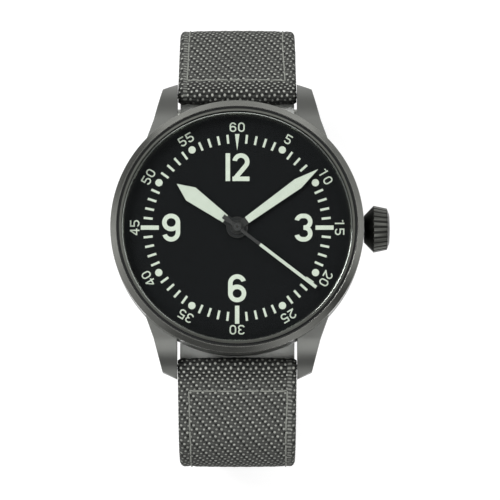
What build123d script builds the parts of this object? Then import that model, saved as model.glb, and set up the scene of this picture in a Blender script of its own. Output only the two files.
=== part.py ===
from build123d import *
from math import acos, atan2, cos, degrees, hypot, radians, sin, sqrt
import os

# Pilot watch, 42 mm case, in millimetres. The dial faces +Z, 12 o'clock is +Y and the crown is at +X.
# The origin is the centre of the back crystal's outer face.

overrun = 1.0

# Case
case_radius = 21.0
case_bottom = 1.0
case_top = 8.3
case_chamfer = 0.9
back_thread_inset = 3.1
back_flange_height = 1.2
neck_rebate = 0.25
neck_shelf = 0.65
neck_height = 1.0
part_clearance = 0.05

# Lugs
lug_gap = 20.0
lug_overhang = 3.8
lug_tip_width = 2.45
lug_tip_corner_length = 1.15
lug_bend_width = 3.9
lug_bend_length = 6.7
lug_root_width = 5.6
lug_root_overlap = 0.66
lug_inner_overlap = 5.87
lug_top = 7.9
lug_shoulder_length = 6.5
lug_shoulder_z = 7.2
lug_belly_length = 2.1
lug_belly_z = 4.9
lug_tip_top = 1.3
lug_tip_bottom = 0.5
lug_foot_length = 1.3
lug_foot_z = 0.1

# Spring bars
bar_inset = 2.0
bar_z = 2.0
bar_radius = 0.8
bar_pivot_radius = 0.45
bar_shoulder_gap = 0.25
bar_pivot_length = 1.2

# Bezel, crystal and rehaut
bezel_width = 1.05
bezel_top = 10.5
bezel_edge_z = 9.75
bezel_lip_width = 0.12
bezel_lip_rise = 0.06
gasket_width = 0.45
crystal_bevel = 0.4
crystal_edge_z = 10.65
crystal_top = 11.0
gasket_top = 10.25
rehaut_foot_width = 0.7
rehaut_top_width = 0.25

# Case back
back_outer_face = 0.15
back_inset = 2.0
back_bevel = 0.4
back_ring_width = 5.4
back_crystal_thickness = 0.9
back_lip_width = 0.5
back_lip_height = 0.12
back_neck_width = 1.0
notch_count = 6
notch_length = 1.6
notch_width = 2.4
notch_depth = 0.5
back_gasket_inset = 0.2
back_gasket_width = 0.5
back_gasket_height = 0.25

# Dial and its markings
dial_bottom = 7.1
dial_thickness = 0.4
dial_clearance = 0.1
dial_hole_radius = 1.15
paint_height = 0.05
minute_bar_inset = 3.6
minute_bar_length = 1.5
minute_bar_width = 0.38
hour_dot_radius = 0.61
hour_dot_inset = 4.2
quarter_bar_inset = 3.2
quarter_bar_length = 3.0
quarter_bar_width = 0.72
triangle_inset = 3.55
triangle_length = 2.75
triangle_width = 0.75
minutes_per_turn = 60
minutes_per_hour_mark = 5
minutes_per_quarter = 15
small_height = 1.58
small_width = 1.1
small_stroke = 0.22
small_pitch = 1.4
small_inset = 2.2
small_top_inset = 2.4
large_height = 4.65
large_stroke = 0.75
large_width = 3.0
two_width = 2.83
one_x = -1.55
two_x = 0.63
twelve_inset = 9.1
three_inset = 8.2
nine_inset = 8.25

# Hands, as heights above the dial, lengths and widths
hand_thickness = 0.2
lume_rise = 0.03
hand_border = 0.07
hour_hand_z = 7.8
hour_hub_radius = 1.8
hour_angle = 305.9
hour_lume_start = 2.4
hour_lume_width = 1.45
hour_taper_length = 2.9
hour_wide = 2.65
hour_tip_inset = 6.8
minute_hand_z = 8.2
minute_hub_radius = 1.2
minute_angle = 54.3
minute_lume_start = 2.0
minute_lume_width = 1.15
minute_taper_length = 4.1
minute_wide = 1.8
minute_tip_inset = 2.65
second_hand_z = 8.6
second_hub_radius = 0.7
second_angle = 127.5
second_lume_start = 4.77
second_width = 0.52
second_tip_inset = 2.7
second_tail = 2.9
second_tail_width = 0.77
hand_tip_width = 0.1

# Movement levels
bridge_bottom = 2.6
bridge_thickness = 0.65
plate_bottom = 4.5
plate_thickness = 1.8
plate_radius = 12.8
bridge_radius = 12.0
foot_inner_radius = 10.9
automatic_bottom = 2.15
bridge_split = 1.3
bridge_gap = 0.2

# Train: places, tooth counts and levels
barrel_x = 3.35
barrel_y = 5.57
barrel_teeth = 72
barrel_drum_radius = 5.2
barrel_height = 1.3
barrel_tooth_height = 0.3
centre_pinion_teeth = 12
centre_pinion_height = 0.4
centre_wheel_teeth = 64
third_pinion_teeth = 8
third_distance = 4.0
third_direction = 300.0
third_wheel_teeth = 60
fourth_pinion_teeth = 8
fourth_wheel_teeth = 72
escape_pinion_teeth = 6
escape_distance = 3.9
escape_direction = 185.0
escape_wheel_teeth = 20
escape_radius = 1.95
escape_root_radius = 1.45
wheel_thickness = 0.15
fourth_wheel_z = 3.45
third_wheel_z = 3.7
escape_wheel_z = 3.85
centre_wheel_z = 4.15
arbor_radius = 0.2
pivot_radius = 0.12
pivot_clearance = 0.03
pivot_depth = 0.5
running_gap = 0.1
train_run_z = 3.35
seconds_arbor_radius = 0.125
centre_tube_inner = 0.2
centre_tube_outer = 0.36

# Motion work
cannon_teeth = 12
minute_wheel_teeth = 36
minute_pinion_teeth = 10
hour_wheel_teeth = 40
motion_distance = 3.6
motion_direction = 240.0
cannon_z = 6.4
minute_wheel_z = 6.42
hour_wheel_z = 6.75
motion_thickness = 0.18
cannon_outer = 0.6
hour_pipe_inner = 0.66
hour_pipe_outer = 1.0
stud_radius = 0.25

# Escapement and balance
pallet_x = -4.14
pallet_y = -2.68
fork_width = 0.3
fork_hub_radius = 0.32
stone_width = 0.22
stone_length = 0.4
stone_clearance = 0.17
balance_x = -4.6
balance_y = -6.55
balance_radius = 3.45
balance_rim_width = 0.5
balance_rim_height = 0.4
balance_z = 4.75
balance_arm_width = 0.5
balance_pocket_depth = 1.25
roller_radius = 0.9
roller_z = 4.1
roller_pin_place = 0.65
roller_pin_radius = 0.1
hairspring_z = 3.45
hairspring_height = 0.14
hairspring_start_radius = 0.55
hairspring_pitch = 0.13
hairspring_width = 0.06
hairspring_turns = 6
collet_radius = 0.5
mainspring_start_radius = 1.0
mainspring_pitch = 0.34
mainspring_width = 0.14
mainspring_turns = 9
barrel_floor = 0.2
barrel_arbor_radius = 0.6

# Winding work
stem_z = 5.0
stem_radius = 0.45
stem_pilot_radius = 0.28
stem_pilot_start = 6.35
stem_pilot_end = 7.5
stem_groove_place = 10.65
stem_groove_width = 0.5
stem_groove_radius = 0.26
crown_pull = 1.0
sliding_pinion_start = 7.95
sliding_pinion_length = 1.0
sliding_pinion_radius = 1.0
winding_pinion_start = 9.05
winding_pinion_length = 1.1
winding_pinion_radius = 1.8
winding_pinion_teeth = 15
crown_wheel_teeth = 26
ratchet_teeth = 39
crown_wheel_place = 6.7
winding_wheel_bottom = 2.65
winding_wheel_height = 0.4
keyless_screw_radius = 0.9
keyless_screw_height = 0.12
lever_length = 3.2
lever_width = 1.0
lever_z = 5.85
lever_thickness = 0.3
nub_radius = 0.19
nub_reach = 0.55
lever_recess_z = 5.7

# Rotor
rotor_bottom = 1.1
rotor_radius = 12.4
rotor_rim_inner = 9.7
rotor_rim_height = 1.0
rotor_web_z = 1.35
rotor_web_thickness = 0.3
rotor_hub_radius = 3.0
rotor_bore_radius = 1.58
bearing_radius = 1.5
bearing_start = 1.2
rotor_slot_inner = 4.6
rotor_slot_outer = 8.4
rotor_span = 176.0

# Movement ring, clamps, screws and jewels
ring_inner_radius = 12.85
ring_foot_width = 0.9
clamp_thickness = 0.2
clamp_inner = 12.1
clamp_length = 2.5
clamp_width = 2.6
clamp_angles = (60.0, 200.0, 330.0)
screw_head_radius = 0.7
screw_head_height = 0.22
screw_shank_radius = 0.35
screw_shank_length = 0.5
screw_slot_width = 0.18
screw_slot_depth = 0.1
screw_place = 11.2
barrel_screw_angles = (22.0, 92.0, 163.0)
train_screw_angles = (190.0, 288.0, 338.0)
cock_screw_place = 10.6
jewel_radius = 0.42
jewel_height = 0.35

# Crown and its tube
tube_outer = 1.5
tube_inner = 0.7
tube_overlap = 0.05
tube_reach = 1.3
crown_gap = 0.1
crown_neck_radius = 2.25
crown_shoulder_length = 1.6
crown_radius = 3.9
crown_barrel_length = 2.2
crown_end_radius = 3.44
crown_dome_radius = 2.4
crown_edge_length = 0.4
crown_dome_length = 0.12
crown_bore_radius = 1.62
crown_bore_end_gap = 0.2
crown_cap_thickness = 0.9
flute_count = 25
flute_radius = 0.24

# Strap
strap_width = 19.7
strap_end_width = 18.0
strap_taper_length = 42.0
strap_thickness = 2.6
lining_thickness = 1.0
roll_radius = 1.6
roll_bore_clearance = 0.08
long_leave = -25.0
long_first_run = 10.5
long_bend_radius = 9.0
long_lean = 5.0
long_drop = 34.2
long_foot_radius = 16.0
long_foot_run = 26.0
short_leave = -40.0
short_first_run = 11.5
short_bend_radius = 8.0
short_drop = 27.0
short_foot_radius = 16.0
short_foot_turn = 60.0
hole_count = 7
hole_radius = 1.0
hole_first = 20.0
hole_pitch = 6.5
strap_tip_radius = 9.6

# Buckle and keepers
buckle_bar_radius = 0.75
buckle_roll_radius = 1.75
buckle_arm_gap = 0.35
buckle_arm_width = 1.7
buckle_thickness = 2.6
buckle_length = 12.5
buckle_front_width = 2.6
buckle_corner = 2.0
tongue_slot_width = 2.6
tongue_slot_length = 3.0
tongue_width = 1.9
tongue_thickness = 1.2
tongue_eye_radius = 1.45
keeper_wall = 0.8
keeper_length = 5.0
keeper_gap = 0.2
keeper_spare = 2.8
keeper_free_drop = 36.5
keeper_free_rise = 6.5
keeper_fixed_turn = 30.0
keeper_fixed_sag = 0.25

tongue_rest_depth = 0.4
tongue_overhang = 0.5

# Digit shapes, as shares of the digit and angles
flag_drop_share = 0.9
two_start_angle = 172.0
three_start_angle = 165.0
least_run_share = 0.1
four_post_share = 1.4
four_bar_share = 0.2
bowl_share = 0.63
five_hook_turn = 70.0
six_start_angle = 18.0

# Tooth shapes, as shares of the module and of one tooth's step
addendum_share = 0.9
dedendum_share = 1.2
tooth_root_share = 0.3
tooth_tip_share = 0.12
escape_back_share = 0.25
escape_front_share = 0.85
wheel_rim_share = 0.8
wheel_hub_share = 0.25
escape_hub_share = 0.33
sliding_groove_share = 0.33

# Small sizes of the movement
spoke_count = 5
escape_spoke_count = 4
spoke_width = 0.4
pivot_inset = 0.15
pinion_height = 0.35
cannon_height = 0.25
minute_pinion_height = 0.55
pin_rise = 0.06
fork_notch_radius = 0.11
stone_angle = 27.0
balance_pocket_gap = 0.15
balance_pivot_top = 5.95
balance_opening = 3.2
cock_width = 3.0
crown_seat_radius = 3.1
crown_wheel_recess = 2.9
ratchet_recess = 4.2
post_radius = 0.8
hairspring_stud_radius = 0.15
automatic_hub_radius = 3.4
automatic_arm_reach = 8.6
automatic_arm_angle = 150.0
automatic_arm_width = 4.0
automatic_short_reach = 7.6
automatic_short_angle = 292.0
automatic_short_width = 3.2
barrel_pivot_radius = 0.4
barrel_pocket_gap = 0.15
centre_pinion_recess = 1.2
pinion_window_start = 7.45
window_half_width = 1.95
stem_tunnel_middle = 11.5
lever_room = 1.4
lever_side_room = 0.9
nub_slot_half = 0.35
lever_nub_y = -0.03
ring_shelf_width = 2.65
clamp_screw_place = 13.7
sliding_groove_radius = 0.7
flute_lift = 0.1
rotor_start = 152.0
rotor_slot_count = 3
rotor_slot_width = 1.1

# Sizes that follow the case
bezel_inner_radius = case_radius - bezel_width
neck_radius = bezel_inner_radius + neck_rebate
neck_top = case_top + neck_height
case_bore_radius = bezel_inner_radius - neck_shelf
crystal_radius = bezel_inner_radius - gasket_width
crystal_flat_radius = crystal_radius - crystal_bevel
rehaut_foot_radius = case_bore_radius - rehaut_foot_width
rehaut_top_radius = case_bore_radius - rehaut_top_width
back_thread_radius = case_radius - back_thread_inset
back_neck_inner_radius = back_thread_radius - back_neck_width
back_gasket_inner_radius = back_thread_radius + back_gasket_inset
back_radius = case_radius - back_inset
back_crystal_radius = back_radius - back_ring_width
back_lip_radius = back_crystal_radius - back_lip_width
lug_reach = case_radius + lug_overhang
lug_inner_x = lug_gap / 2
lug_root_x = lug_inner_x + lug_root_width
lug_root_y = sqrt(case_radius * case_radius - lug_root_x * lug_root_x) - lug_root_overlap
lug_inner_y = sqrt(case_radius * case_radius - lug_inner_x * lug_inner_x) - lug_inner_overlap
bar_y = lug_reach - bar_inset
tube_start = case_bore_radius - tube_overlap
tube_end = case_radius + tube_reach
crown_start = case_radius + crown_gap
crown_shoulder = crown_start + crown_shoulder_length
crown_barrel_end = crown_shoulder + crown_barrel_length
crown_dome_edge = crown_barrel_end + crown_edge_length
crown_end = crown_dome_edge + crown_dome_length
crown_bore_end = crown_shoulder - crown_bore_end_gap
crown_stem_end = crown_barrel_end - crown_cap_thickness

# Sizes that follow the dial
dial_radius = case_bore_radius - dial_clearance
dial_top = dial_bottom + dial_thickness
minute_bar_outer = dial_radius - minute_bar_inset
hour_dot_place = dial_radius - hour_dot_inset
quarter_bar_outer = dial_radius - quarter_bar_inset
triangle_base = dial_radius - triangle_inset
small_place = dial_radius - small_inset
small_top_place = dial_radius - small_top_inset
twelve_y = dial_radius - twelve_inset
hour_tip = dial_radius - hour_tip_inset
hour_wide_place = hour_tip - hour_taper_length
minute_tip = dial_radius - minute_tip_inset
minute_wide_place = minute_tip - minute_taper_length
second_tip = dial_radius - second_tip_inset
ring_foot_inner_radius = dial_radius - ring_foot_width
ring_shelf_radius = ring_inner_radius + ring_shelf_width
clamp_outer = clamp_inner + clamp_length

# Places in the movement
barrel_pitch = hypot(barrel_x, barrel_y) * barrel_teeth / (barrel_teeth + centre_pinion_teeth)
centre_pinion_pitch = barrel_pitch * centre_pinion_teeth / barrel_teeth
barrel_pocket_radius = barrel_pitch * (1 + 2 * addendum_share / barrel_teeth) + barrel_pocket_gap
centre_wheel_pitch = third_distance * centre_wheel_teeth / (centre_wheel_teeth + third_pinion_teeth)
third_pinion_pitch = third_distance - centre_wheel_pitch
third_wheel_pitch = third_distance * third_wheel_teeth / (third_wheel_teeth + fourth_pinion_teeth)
fourth_pinion_pitch = third_distance - third_wheel_pitch
fourth_wheel_pitch = escape_distance * fourth_wheel_teeth / (fourth_wheel_teeth + escape_pinion_teeth)
escape_pinion_pitch = escape_distance - fourth_wheel_pitch
minute_wheel_pitch = motion_distance * minute_wheel_teeth / (minute_wheel_teeth + cannon_teeth)
cannon_pitch = motion_distance - minute_wheel_pitch
hour_wheel_pitch = motion_distance * hour_wheel_teeth / (hour_wheel_teeth + minute_pinion_teeth)
minute_pinion_pitch = motion_distance - hour_wheel_pitch
crown_wheel_pitch = hypot(barrel_x - crown_wheel_place, barrel_y) * crown_wheel_teeth / (
    crown_wheel_teeth + ratchet_teeth)
ratchet_pitch = hypot(barrel_x - crown_wheel_place, barrel_y) - crown_wheel_pitch
winding_pinion_pitch = winding_pinion_radius / (1 + 2 * addendum_share / winding_pinion_teeth)
balance_direction = degrees(atan2(balance_y, balance_x))
lever_swing_half = crown_pull / lever_length / 2
lever_pivot_y = lever_nub_y - lever_length * cos(lever_swing_half)
bridge_top = bridge_bottom + bridge_thickness
plate_top = plate_bottom + plate_thickness
strap_half = strap_thickness / 2
barrel_direction = degrees(atan2(barrel_y, barrel_x))
barrel_bottom = plate_bottom + part_clearance
barrel_pocket_depth = barrel_height + running_gap + part_clearance
third_x = third_distance * cos(radians(third_direction))
third_y = third_distance * sin(radians(third_direction))
escape_x = escape_distance * cos(radians(escape_direction))
escape_y = escape_distance * sin(radians(escape_direction))
minute_wheel_x = motion_distance * cos(radians(motion_direction))
minute_wheel_y = motion_distance * sin(radians(motion_direction))
pinion_step_z = third_wheel_z + wheel_thickness
lever_x = stem_groove_place + crown_pull / 2

parts = {}


def keep(name, shape):
    """Note a finished piece under the name of its file."""
    parts[name] = shape


def group(solids):
    """Several separate solids as one piece."""
    return Compound(children=list(solids))


def rod(radius, bottom, top, x=0, y=0):
    """A round bar or plate along Z between two heights."""
    return Pos(x, y, bottom) * extrude(Circle(radius), amount=top - bottom)


def ring(outer, inner, bottom, top, x=0, y=0):
    """A flat ring between two heights."""
    return Pos(x, y, bottom) * extrude(Circle(outer) - Circle(inner), amount=top - bottom)


def block(x_start, x_end, y_start, y_end, bottom, top):
    """A box between its lowest and highest corners."""
    size = (x_end - x_start, y_end - y_start, top - bottom)
    middle = ((x_start + x_end) / 2, (y_start + y_end) / 2, (bottom + top) / 2)
    return Pos(*middle) * Box(*size)


def turned(outline):
    """A body turned about Z from its (radius, height) outline."""
    return revolve(make_face(Polyline(*[(radius, 0, z) for radius, z in outline], close=True)), Axis.Z)


def turned_on_stem(outline):
    """A body turned about the stem's axis from its (place, radius) outline."""
    face = make_face(Polyline(*[(x, 0, radius) for x, radius in outline], close=True))
    return Pos(0, 0, stem_z) * revolve(face, Axis.X)


def flat(points):
    """A flat face through its corner points."""
    return make_face(Polyline(*points, close=True))


def walk(start, heading, moves):
    """The stops of a route of straight runs (length, 0) and arcs (radius, turn)."""
    stops = [(start[0], start[1], heading)]
    for size, turn in moves:
        x, y, angle = stops[-1]
        if turn == 0:
            x += size * cos(radians(angle))
            y += size * sin(radians(angle))
        else:
            side = size if turn > 0 else -size
            x -= side * sin(radians(angle))
            y += side * cos(radians(angle))
            angle += turn
            x += side * sin(radians(angle))
            y -= side * cos(radians(angle))
        stops.append((x, y, angle))
    return stops


def beside(stop, left):
    """The point that lies to the left of a stop."""
    x, y, angle = stop
    return (x - left * sin(radians(angle)), y + left * cos(radians(angle)))


def side_edges(stops, moves, left):
    """The route's edges, moved to the left."""
    edges = []
    for (size, turn), before, after in zip(moves, stops, stops[1:]):
        begin, end = beside(before, left), beside(after, left)
        if turn == 0:
            edges.append(Line(begin, end))
        else:
            halfway = walk(before[:2], before[2], [(size, turn / 2)])[-1]
            edges.append(ThreePointArc(begin, beside(halfway, left), end))
    return edges


def ribbon(start, heading, moves, right, left):
    """A flat band along a route, from its right side to its left side."""
    stops = walk(start, heading, moves)
    edges = side_edges(stops, moves, -right) + side_edges(stops, moves, left)
    edges += [Line(beside(stop, -right), beside(stop, left)) for stop in (stops[0], stops[-1])]
    return make_face(edges)


def gear_face(teeth, pitch_radius, phase, bore=0):
    """A wheel's outline with straight-flanked teeth, one of them centred on the phase in degrees."""
    module = 2 * pitch_radius / teeth
    tip, root = pitch_radius + addendum_share * module, pitch_radius - dedendum_share * module
    step = 360 / teeth
    corners = []
    for tooth in range(teeth):
        middle = phase + tooth * step
        for radius, share in ((root, -tooth_root_share), (tip, -tooth_tip_share), (tip, tooth_tip_share),
                              (root, tooth_root_share)):
            angle = radians(middle + share * step)
            corners.append((radius * cos(angle), radius * sin(angle)))
    face = flat(corners)
    return face - Circle(bore) if bore else face


def gear(teeth, pitch_radius, bottom, height, phase, x=0, y=0, bore=0):
    """A toothed wheel along Z."""
    return Pos(x, y, bottom) * extrude(gear_face(teeth, pitch_radius, phase, bore), amount=height)


def meshed(phase, teeth, direction, other_teeth):
    """The phase of a wheel that stands in the given direction and meshes with the first one."""
    into_tooth = (direction - phase) / (360 / teeth)
    return direction + 180 - (360 / other_teeth) * (0.5 - into_tooth)


def clockwise(angle, shape):
    """Turn a shape from 12 o'clock by a clockwise angle."""
    return Rot(0, 0, -angle) * shape


def digit_one(height, width, stroke, flag):
    """A plain upright bar, with a short flag where it is asked for."""
    face = Rectangle(stroke, height)
    if flag:
        top = (-stroke / 2, height / 2 - stroke * flag_drop_share)
        face += flat([(0, height / 2), (0, height / 2 - stroke), (-width / 2, top[1] - stroke),
                      (-width / 2, top[1]), top, (-stroke / 2, height / 2)])
    return face


def digit_two(height, width, stroke):
    """An arc over the top, a straight diagonal and a foot."""
    radius = (width - stroke) / 2
    centre_y = (height - stroke) / 2 - radius
    corner = (-radius, -(height - stroke) / 2)
    span = hypot(corner[0], corner[1] - centre_y)
    leave = degrees(atan2(corner[1] - centre_y, corner[0]) + acos(radius / span))
    sweep = two_start_angle - leave
    start = (radius * cos(radians(two_start_angle)), centre_y + radius * sin(radians(two_start_angle)))
    diagonal = sqrt(span * span - radius * radius)
    moves = [(radius, -sweep), (diagonal, 0)]
    half = stroke / 2
    hook = ribbon(start, two_start_angle - 90, moves, half, half)
    foot = Pos(0, (stroke - height) / 2) * Rectangle(width, stroke)
    return (hook + foot) & Rectangle(width, height)


def digit_three(height, width, stroke):
    """Two equal bowls."""
    half = stroke / 2
    radius = (height - stroke) / 4
    run = max((width - stroke) / 2 - radius, stroke * least_run_share)
    bowl_start = radians(three_start_angle)
    start = (-run + radius * cos(bowl_start), radius + radius * sin(bowl_start))
    moves = [(radius, 90 - three_start_angle), (2 * run, 0), (radius, -180), (run, 0)]
    bowl = ribbon(start, three_start_angle - 90, moves, half, half)
    return bowl + mirror(bowl, Plane.XZ)


def digit_four(height, width, stroke):
    """An upright, a cross bar and a diagonal."""
    post_x = width / 2 - stroke * four_post_share
    bar_y = -height * four_bar_share
    face = Pos(post_x, 0) * Rectangle(stroke, height)
    face += Pos(0, bar_y) * Rectangle(width, stroke)
    face += flat([(-width / 2, bar_y + stroke / 2), (-width / 2 + stroke, bar_y + stroke / 2),
                  (post_x + stroke / 2, height / 2), (post_x - stroke / 2, height / 2)])
    return face


def digit_five(height, width, stroke):
    """A top bar, a short upright and a bowl."""
    half = stroke / 2
    low, side = (stroke - height) / 2, (width - stroke) / 2
    radius = (height * bowl_share - stroke) / 2
    run = side - radius
    moves = [(side + run, 0), (radius, -180), (2 * run + stroke * least_run_share, 0),
             (radius, -five_hook_turn)]
    bowl = ribbon((-side, low + 2 * radius), 0, moves, half, half)
    upright = flat([(-side - half, low + 2 * radius - half), (-side + half, low + 2 * radius - half),
                    (-side + half, height / 2), (-side - half, height / 2)])
    top = Pos(0, (height - stroke) / 2) * Rectangle(width - half, stroke)
    return bowl + upright + top


def digit_six(height, width, stroke):
    """A stem with a curled top over a closed bowl."""
    half = stroke / 2
    side = (width - stroke) / 2
    low = (stroke - height) / 2
    radius = (height * bowl_share - stroke) / 2
    run = 2 * (side - radius)
    start = (side * cos(radians(six_start_angle)), -low - side + side * sin(radians(six_start_angle)))
    stem = [(side, 180 - six_start_angle), (-2 * low - side - radius, 0), (radius, 90), (run, 0)]
    stem += [(radius, 180), (run, 0)]
    face = ribbon(start, six_start_angle + 90, stem, half, half)
    return face + ribbon((radius - side, low + 2 * radius), 180, [(radius, 90)], half, half)


def digit_zero(height, width, stroke):
    """A closed oval."""
    return SlotOverall(height, width, 90) - SlotOverall(height - 2 * stroke, width - 2 * stroke, 90)


def digit(symbol, height, width, stroke, flag=True):
    """The flat face of one digit, centred on its own middle."""
    if symbol == "1":
        return digit_one(height, width, stroke, flag)
    if symbol == "9":
        return Rot(0, 0, 180) * digit_six(height, width, stroke)
    makers = {"0": digit_zero, "2": digit_two, "3": digit_three, "4": digit_four, "5": digit_five,
              "6": digit_six}
    return makers[symbol](height, width, stroke)


def make_case():
    """Case middle with its lugs, bezel, crystal, gaskets and case back."""
    body = turned([(back_thread_radius, case_bottom), (case_radius - case_chamfer, case_bottom),
                   (case_radius, case_bottom + case_chamfer), (case_radius, case_top),
                   (neck_radius, case_top), (neck_radius, neck_top), (case_bore_radius, neck_top),
                   (case_bore_radius, case_bottom + back_flange_height),
                   (back_thread_radius, case_bottom + back_flange_height)])
    side = make_face([
        Line((lug_inner_y, case_bottom), (lug_reach - lug_foot_length, lug_foot_z)),
        Line((lug_reach - lug_foot_length, lug_foot_z), (lug_reach, lug_tip_bottom)),
        Line((lug_reach, lug_tip_bottom), (lug_reach, lug_tip_top)),
        ThreePointArc((lug_reach, lug_tip_top), (lug_reach - lug_belly_length, lug_belly_z),
                      (lug_reach - lug_shoulder_length, lug_shoulder_z)),
        Line((lug_reach - lug_shoulder_length, lug_shoulder_z), (lug_inner_y, lug_top)),
        Line((lug_inner_y, lug_top), (lug_inner_y, case_bottom)),
    ])
    profile = extrude(Plane.YZ * side, amount=lug_root_x)
    outline = flat([(lug_inner_x, lug_inner_y), (lug_root_x, lug_root_y),
                    (lug_inner_x + lug_bend_width, lug_reach - lug_bend_length),
                    (lug_inner_x + lug_tip_width, lug_reach - lug_tip_corner_length),
                    (lug_inner_x, lug_reach)])
    lug = profile & extrude(outline, amount=case_top)
    lug -= Pos(lug_inner_x, bar_y, bar_z) * Rot(0, 90, 0) * Cylinder(
        bar_pivot_radius + part_clearance, 2 * (bar_pivot_length + part_clearance))
    lug -= rod(case_radius - case_chamfer, 0, case_top)
    for plane in (None, Plane.YZ):
        half = lug if plane is None else mirror(lug, plane)
        body += half
        body += mirror(half, Plane.XZ)
    body -= Pos((tube_start + case_radius) / 2, 0, stem_z) * Rot(0, 90, 0) * Cylinder(
        tube_outer, case_radius)
    body -= rod(case_bore_radius, case_bottom + back_flange_height, neck_top)
    keep("case_middle", body)

    keep("bezel", turned([(neck_radius + part_clearance, case_top), (case_radius, case_top),
                          (case_radius, bezel_edge_z), (bezel_inner_radius + bezel_lip_width, bezel_top),
                          (bezel_inner_radius + bezel_lip_width, bezel_top + bezel_lip_rise),
                          (bezel_inner_radius, bezel_top + bezel_lip_rise), (bezel_inner_radius, neck_top),
                          (neck_radius + part_clearance, neck_top)]))
    keep("crystal_gasket", ring(bezel_inner_radius, crystal_radius, neck_top, gasket_top))
    keep("crystal", turned([(0, neck_top), (crystal_radius, neck_top),
                            (crystal_radius, crystal_edge_z), (crystal_flat_radius, crystal_top),
                            (0, crystal_top)]))
    keep("rehaut_ring", turned([(rehaut_foot_radius, dial_top), (case_bore_radius, dial_top),
                                (case_bore_radius, neck_top), (rehaut_top_radius, neck_top)]))

    back = turned([(back_crystal_radius, back_outer_face), (back_radius - back_bevel, back_outer_face),
                   (back_radius, back_outer_face + back_bevel), (back_radius, case_bottom),
                   (back_thread_radius, case_bottom),
                   (back_thread_radius, case_bottom + back_flange_height),
                   (back_neck_inner_radius, case_bottom + back_flange_height),
                   (back_neck_inner_radius, back_crystal_thickness + back_lip_height),
                   (back_lip_radius, back_crystal_thickness + back_lip_height),
                   (back_lip_radius, back_crystal_thickness), (back_crystal_radius, back_crystal_thickness)])
    back -= ring(back_gasket_inner_radius + back_gasket_width, back_gasket_inner_radius,
                 case_bottom - back_gasket_height, case_bottom)
    notch = block(back_radius - notch_length, back_radius + overrun, -notch_width / 2, notch_width / 2,
                  back_outer_face - overrun, back_outer_face + notch_depth)
    for index in range(notch_count):
        back -= Rot(0, 0, index * 360 / notch_count) * notch
    keep("case_back", back)
    keep("case_back_gasket", ring(back_gasket_inner_radius + back_gasket_width, back_gasket_inner_radius,
                                  case_bottom - back_gasket_height, case_bottom))
    keep("back_crystal", rod(back_crystal_radius, 0, back_crystal_thickness))
    tube = Pos((tube_start + tube_end) / 2, 0, stem_z) * Rot(0, 90, 0) * (
        Cylinder(tube_outer, tube_end - tube_start) - Cylinder(tube_inner, tube_end - tube_start))
    keep("crown_tube", tube)

    bar_half = lug_inner_x - bar_shoulder_gap
    bar = Rot(0, 90, 0) * Cylinder(bar_radius, 2 * bar_half)
    bar += Rot(0, 90, 0) * Cylinder(bar_pivot_radius, 2 * (lug_inner_x + bar_pivot_length))
    keep("spring_bar_12", Pos(0, bar_y, bar_z) * bar)
    keep("spring_bar_6", Pos(0, -bar_y, bar_z) * bar)


def painted(face):
    """A marking painted on the dial."""
    return Pos(0, 0, dial_top) * extrude(face, amount=paint_height)


def make_dial():
    """Dial plate, large numerals, minute track and minute numerals."""
    keep("dial", ring(dial_radius, dial_hole_radius, dial_bottom, dial_top))
    numerals = [
        Pos(one_x, twelve_y) * digit("1", large_height, large_width, large_stroke, False),
        Pos(two_x, twelve_y) * digit("2", large_height, two_width, large_stroke),
        Pos(dial_radius - three_inset, 0) * digit("3", large_height, large_width, large_stroke),
        Pos(nine_inset - dial_radius, 0) * digit("9", large_height, large_width, large_stroke),
        Pos(0, -twelve_y) * digit("6", large_height, large_width, large_stroke),
    ]
    keep("dial_numerals", group(painted(face) for face in numerals))

    marks = []
    minute_bar = Pos(0, minute_bar_outer - minute_bar_length / 2) * Rectangle(
        minute_bar_width, minute_bar_length)
    quarter_bar = Pos(0, quarter_bar_outer - quarter_bar_length / 2) * Rectangle(
        quarter_bar_width, quarter_bar_length)
    triangle = flat([(-triangle_width / 2, triangle_base), (0, triangle_base - triangle_length),
                     (triangle_width / 2, triangle_base)])
    dot = Pos(0, hour_dot_place) * Circle(hour_dot_radius)
    for minute in range(minutes_per_turn):
        if minute == 0:
            face = triangle
        elif minute % minutes_per_quarter == 0:
            face = quarter_bar
        elif minute % minutes_per_hour_mark == 0:
            face = dot
        else:
            face = minute_bar
        marks.append(clockwise(minute * 360 / minutes_per_turn, painted(face)))
    keep("dial_minute_track", group(marks))

    small = []
    for minute in range(minutes_per_hour_mark, minutes_per_turn + 1, minutes_per_hour_mark):
        text = str(minute)
        place = small_top_place if minute == minutes_per_turn else small_place
        for index, symbol in enumerate(text):
            x = (index - (len(text) - 1) / 2) * small_pitch
            face = Pos(x, place) * digit(symbol, small_height, small_width, small_stroke)
            small.append(clockwise(minute * 360 / minutes_per_turn, painted(face)))
    keep("dial_minute_numerals", group(small))


def hand_outline(start, start_width, wide_place, wide, tip, tip_width, grow):
    """A hand's blade: widening, then tapering to its tip, grown all round by a border."""
    return flat([(-start_width / 2 - grow, start - grow), (-wide / 2 - grow, wide_place),
                 (-tip_width / 2, tip + grow), (tip_width / 2, tip + grow), (wide / 2 + grow, wide_place),
                 (start_width / 2 + grow, start - grow)])


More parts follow.
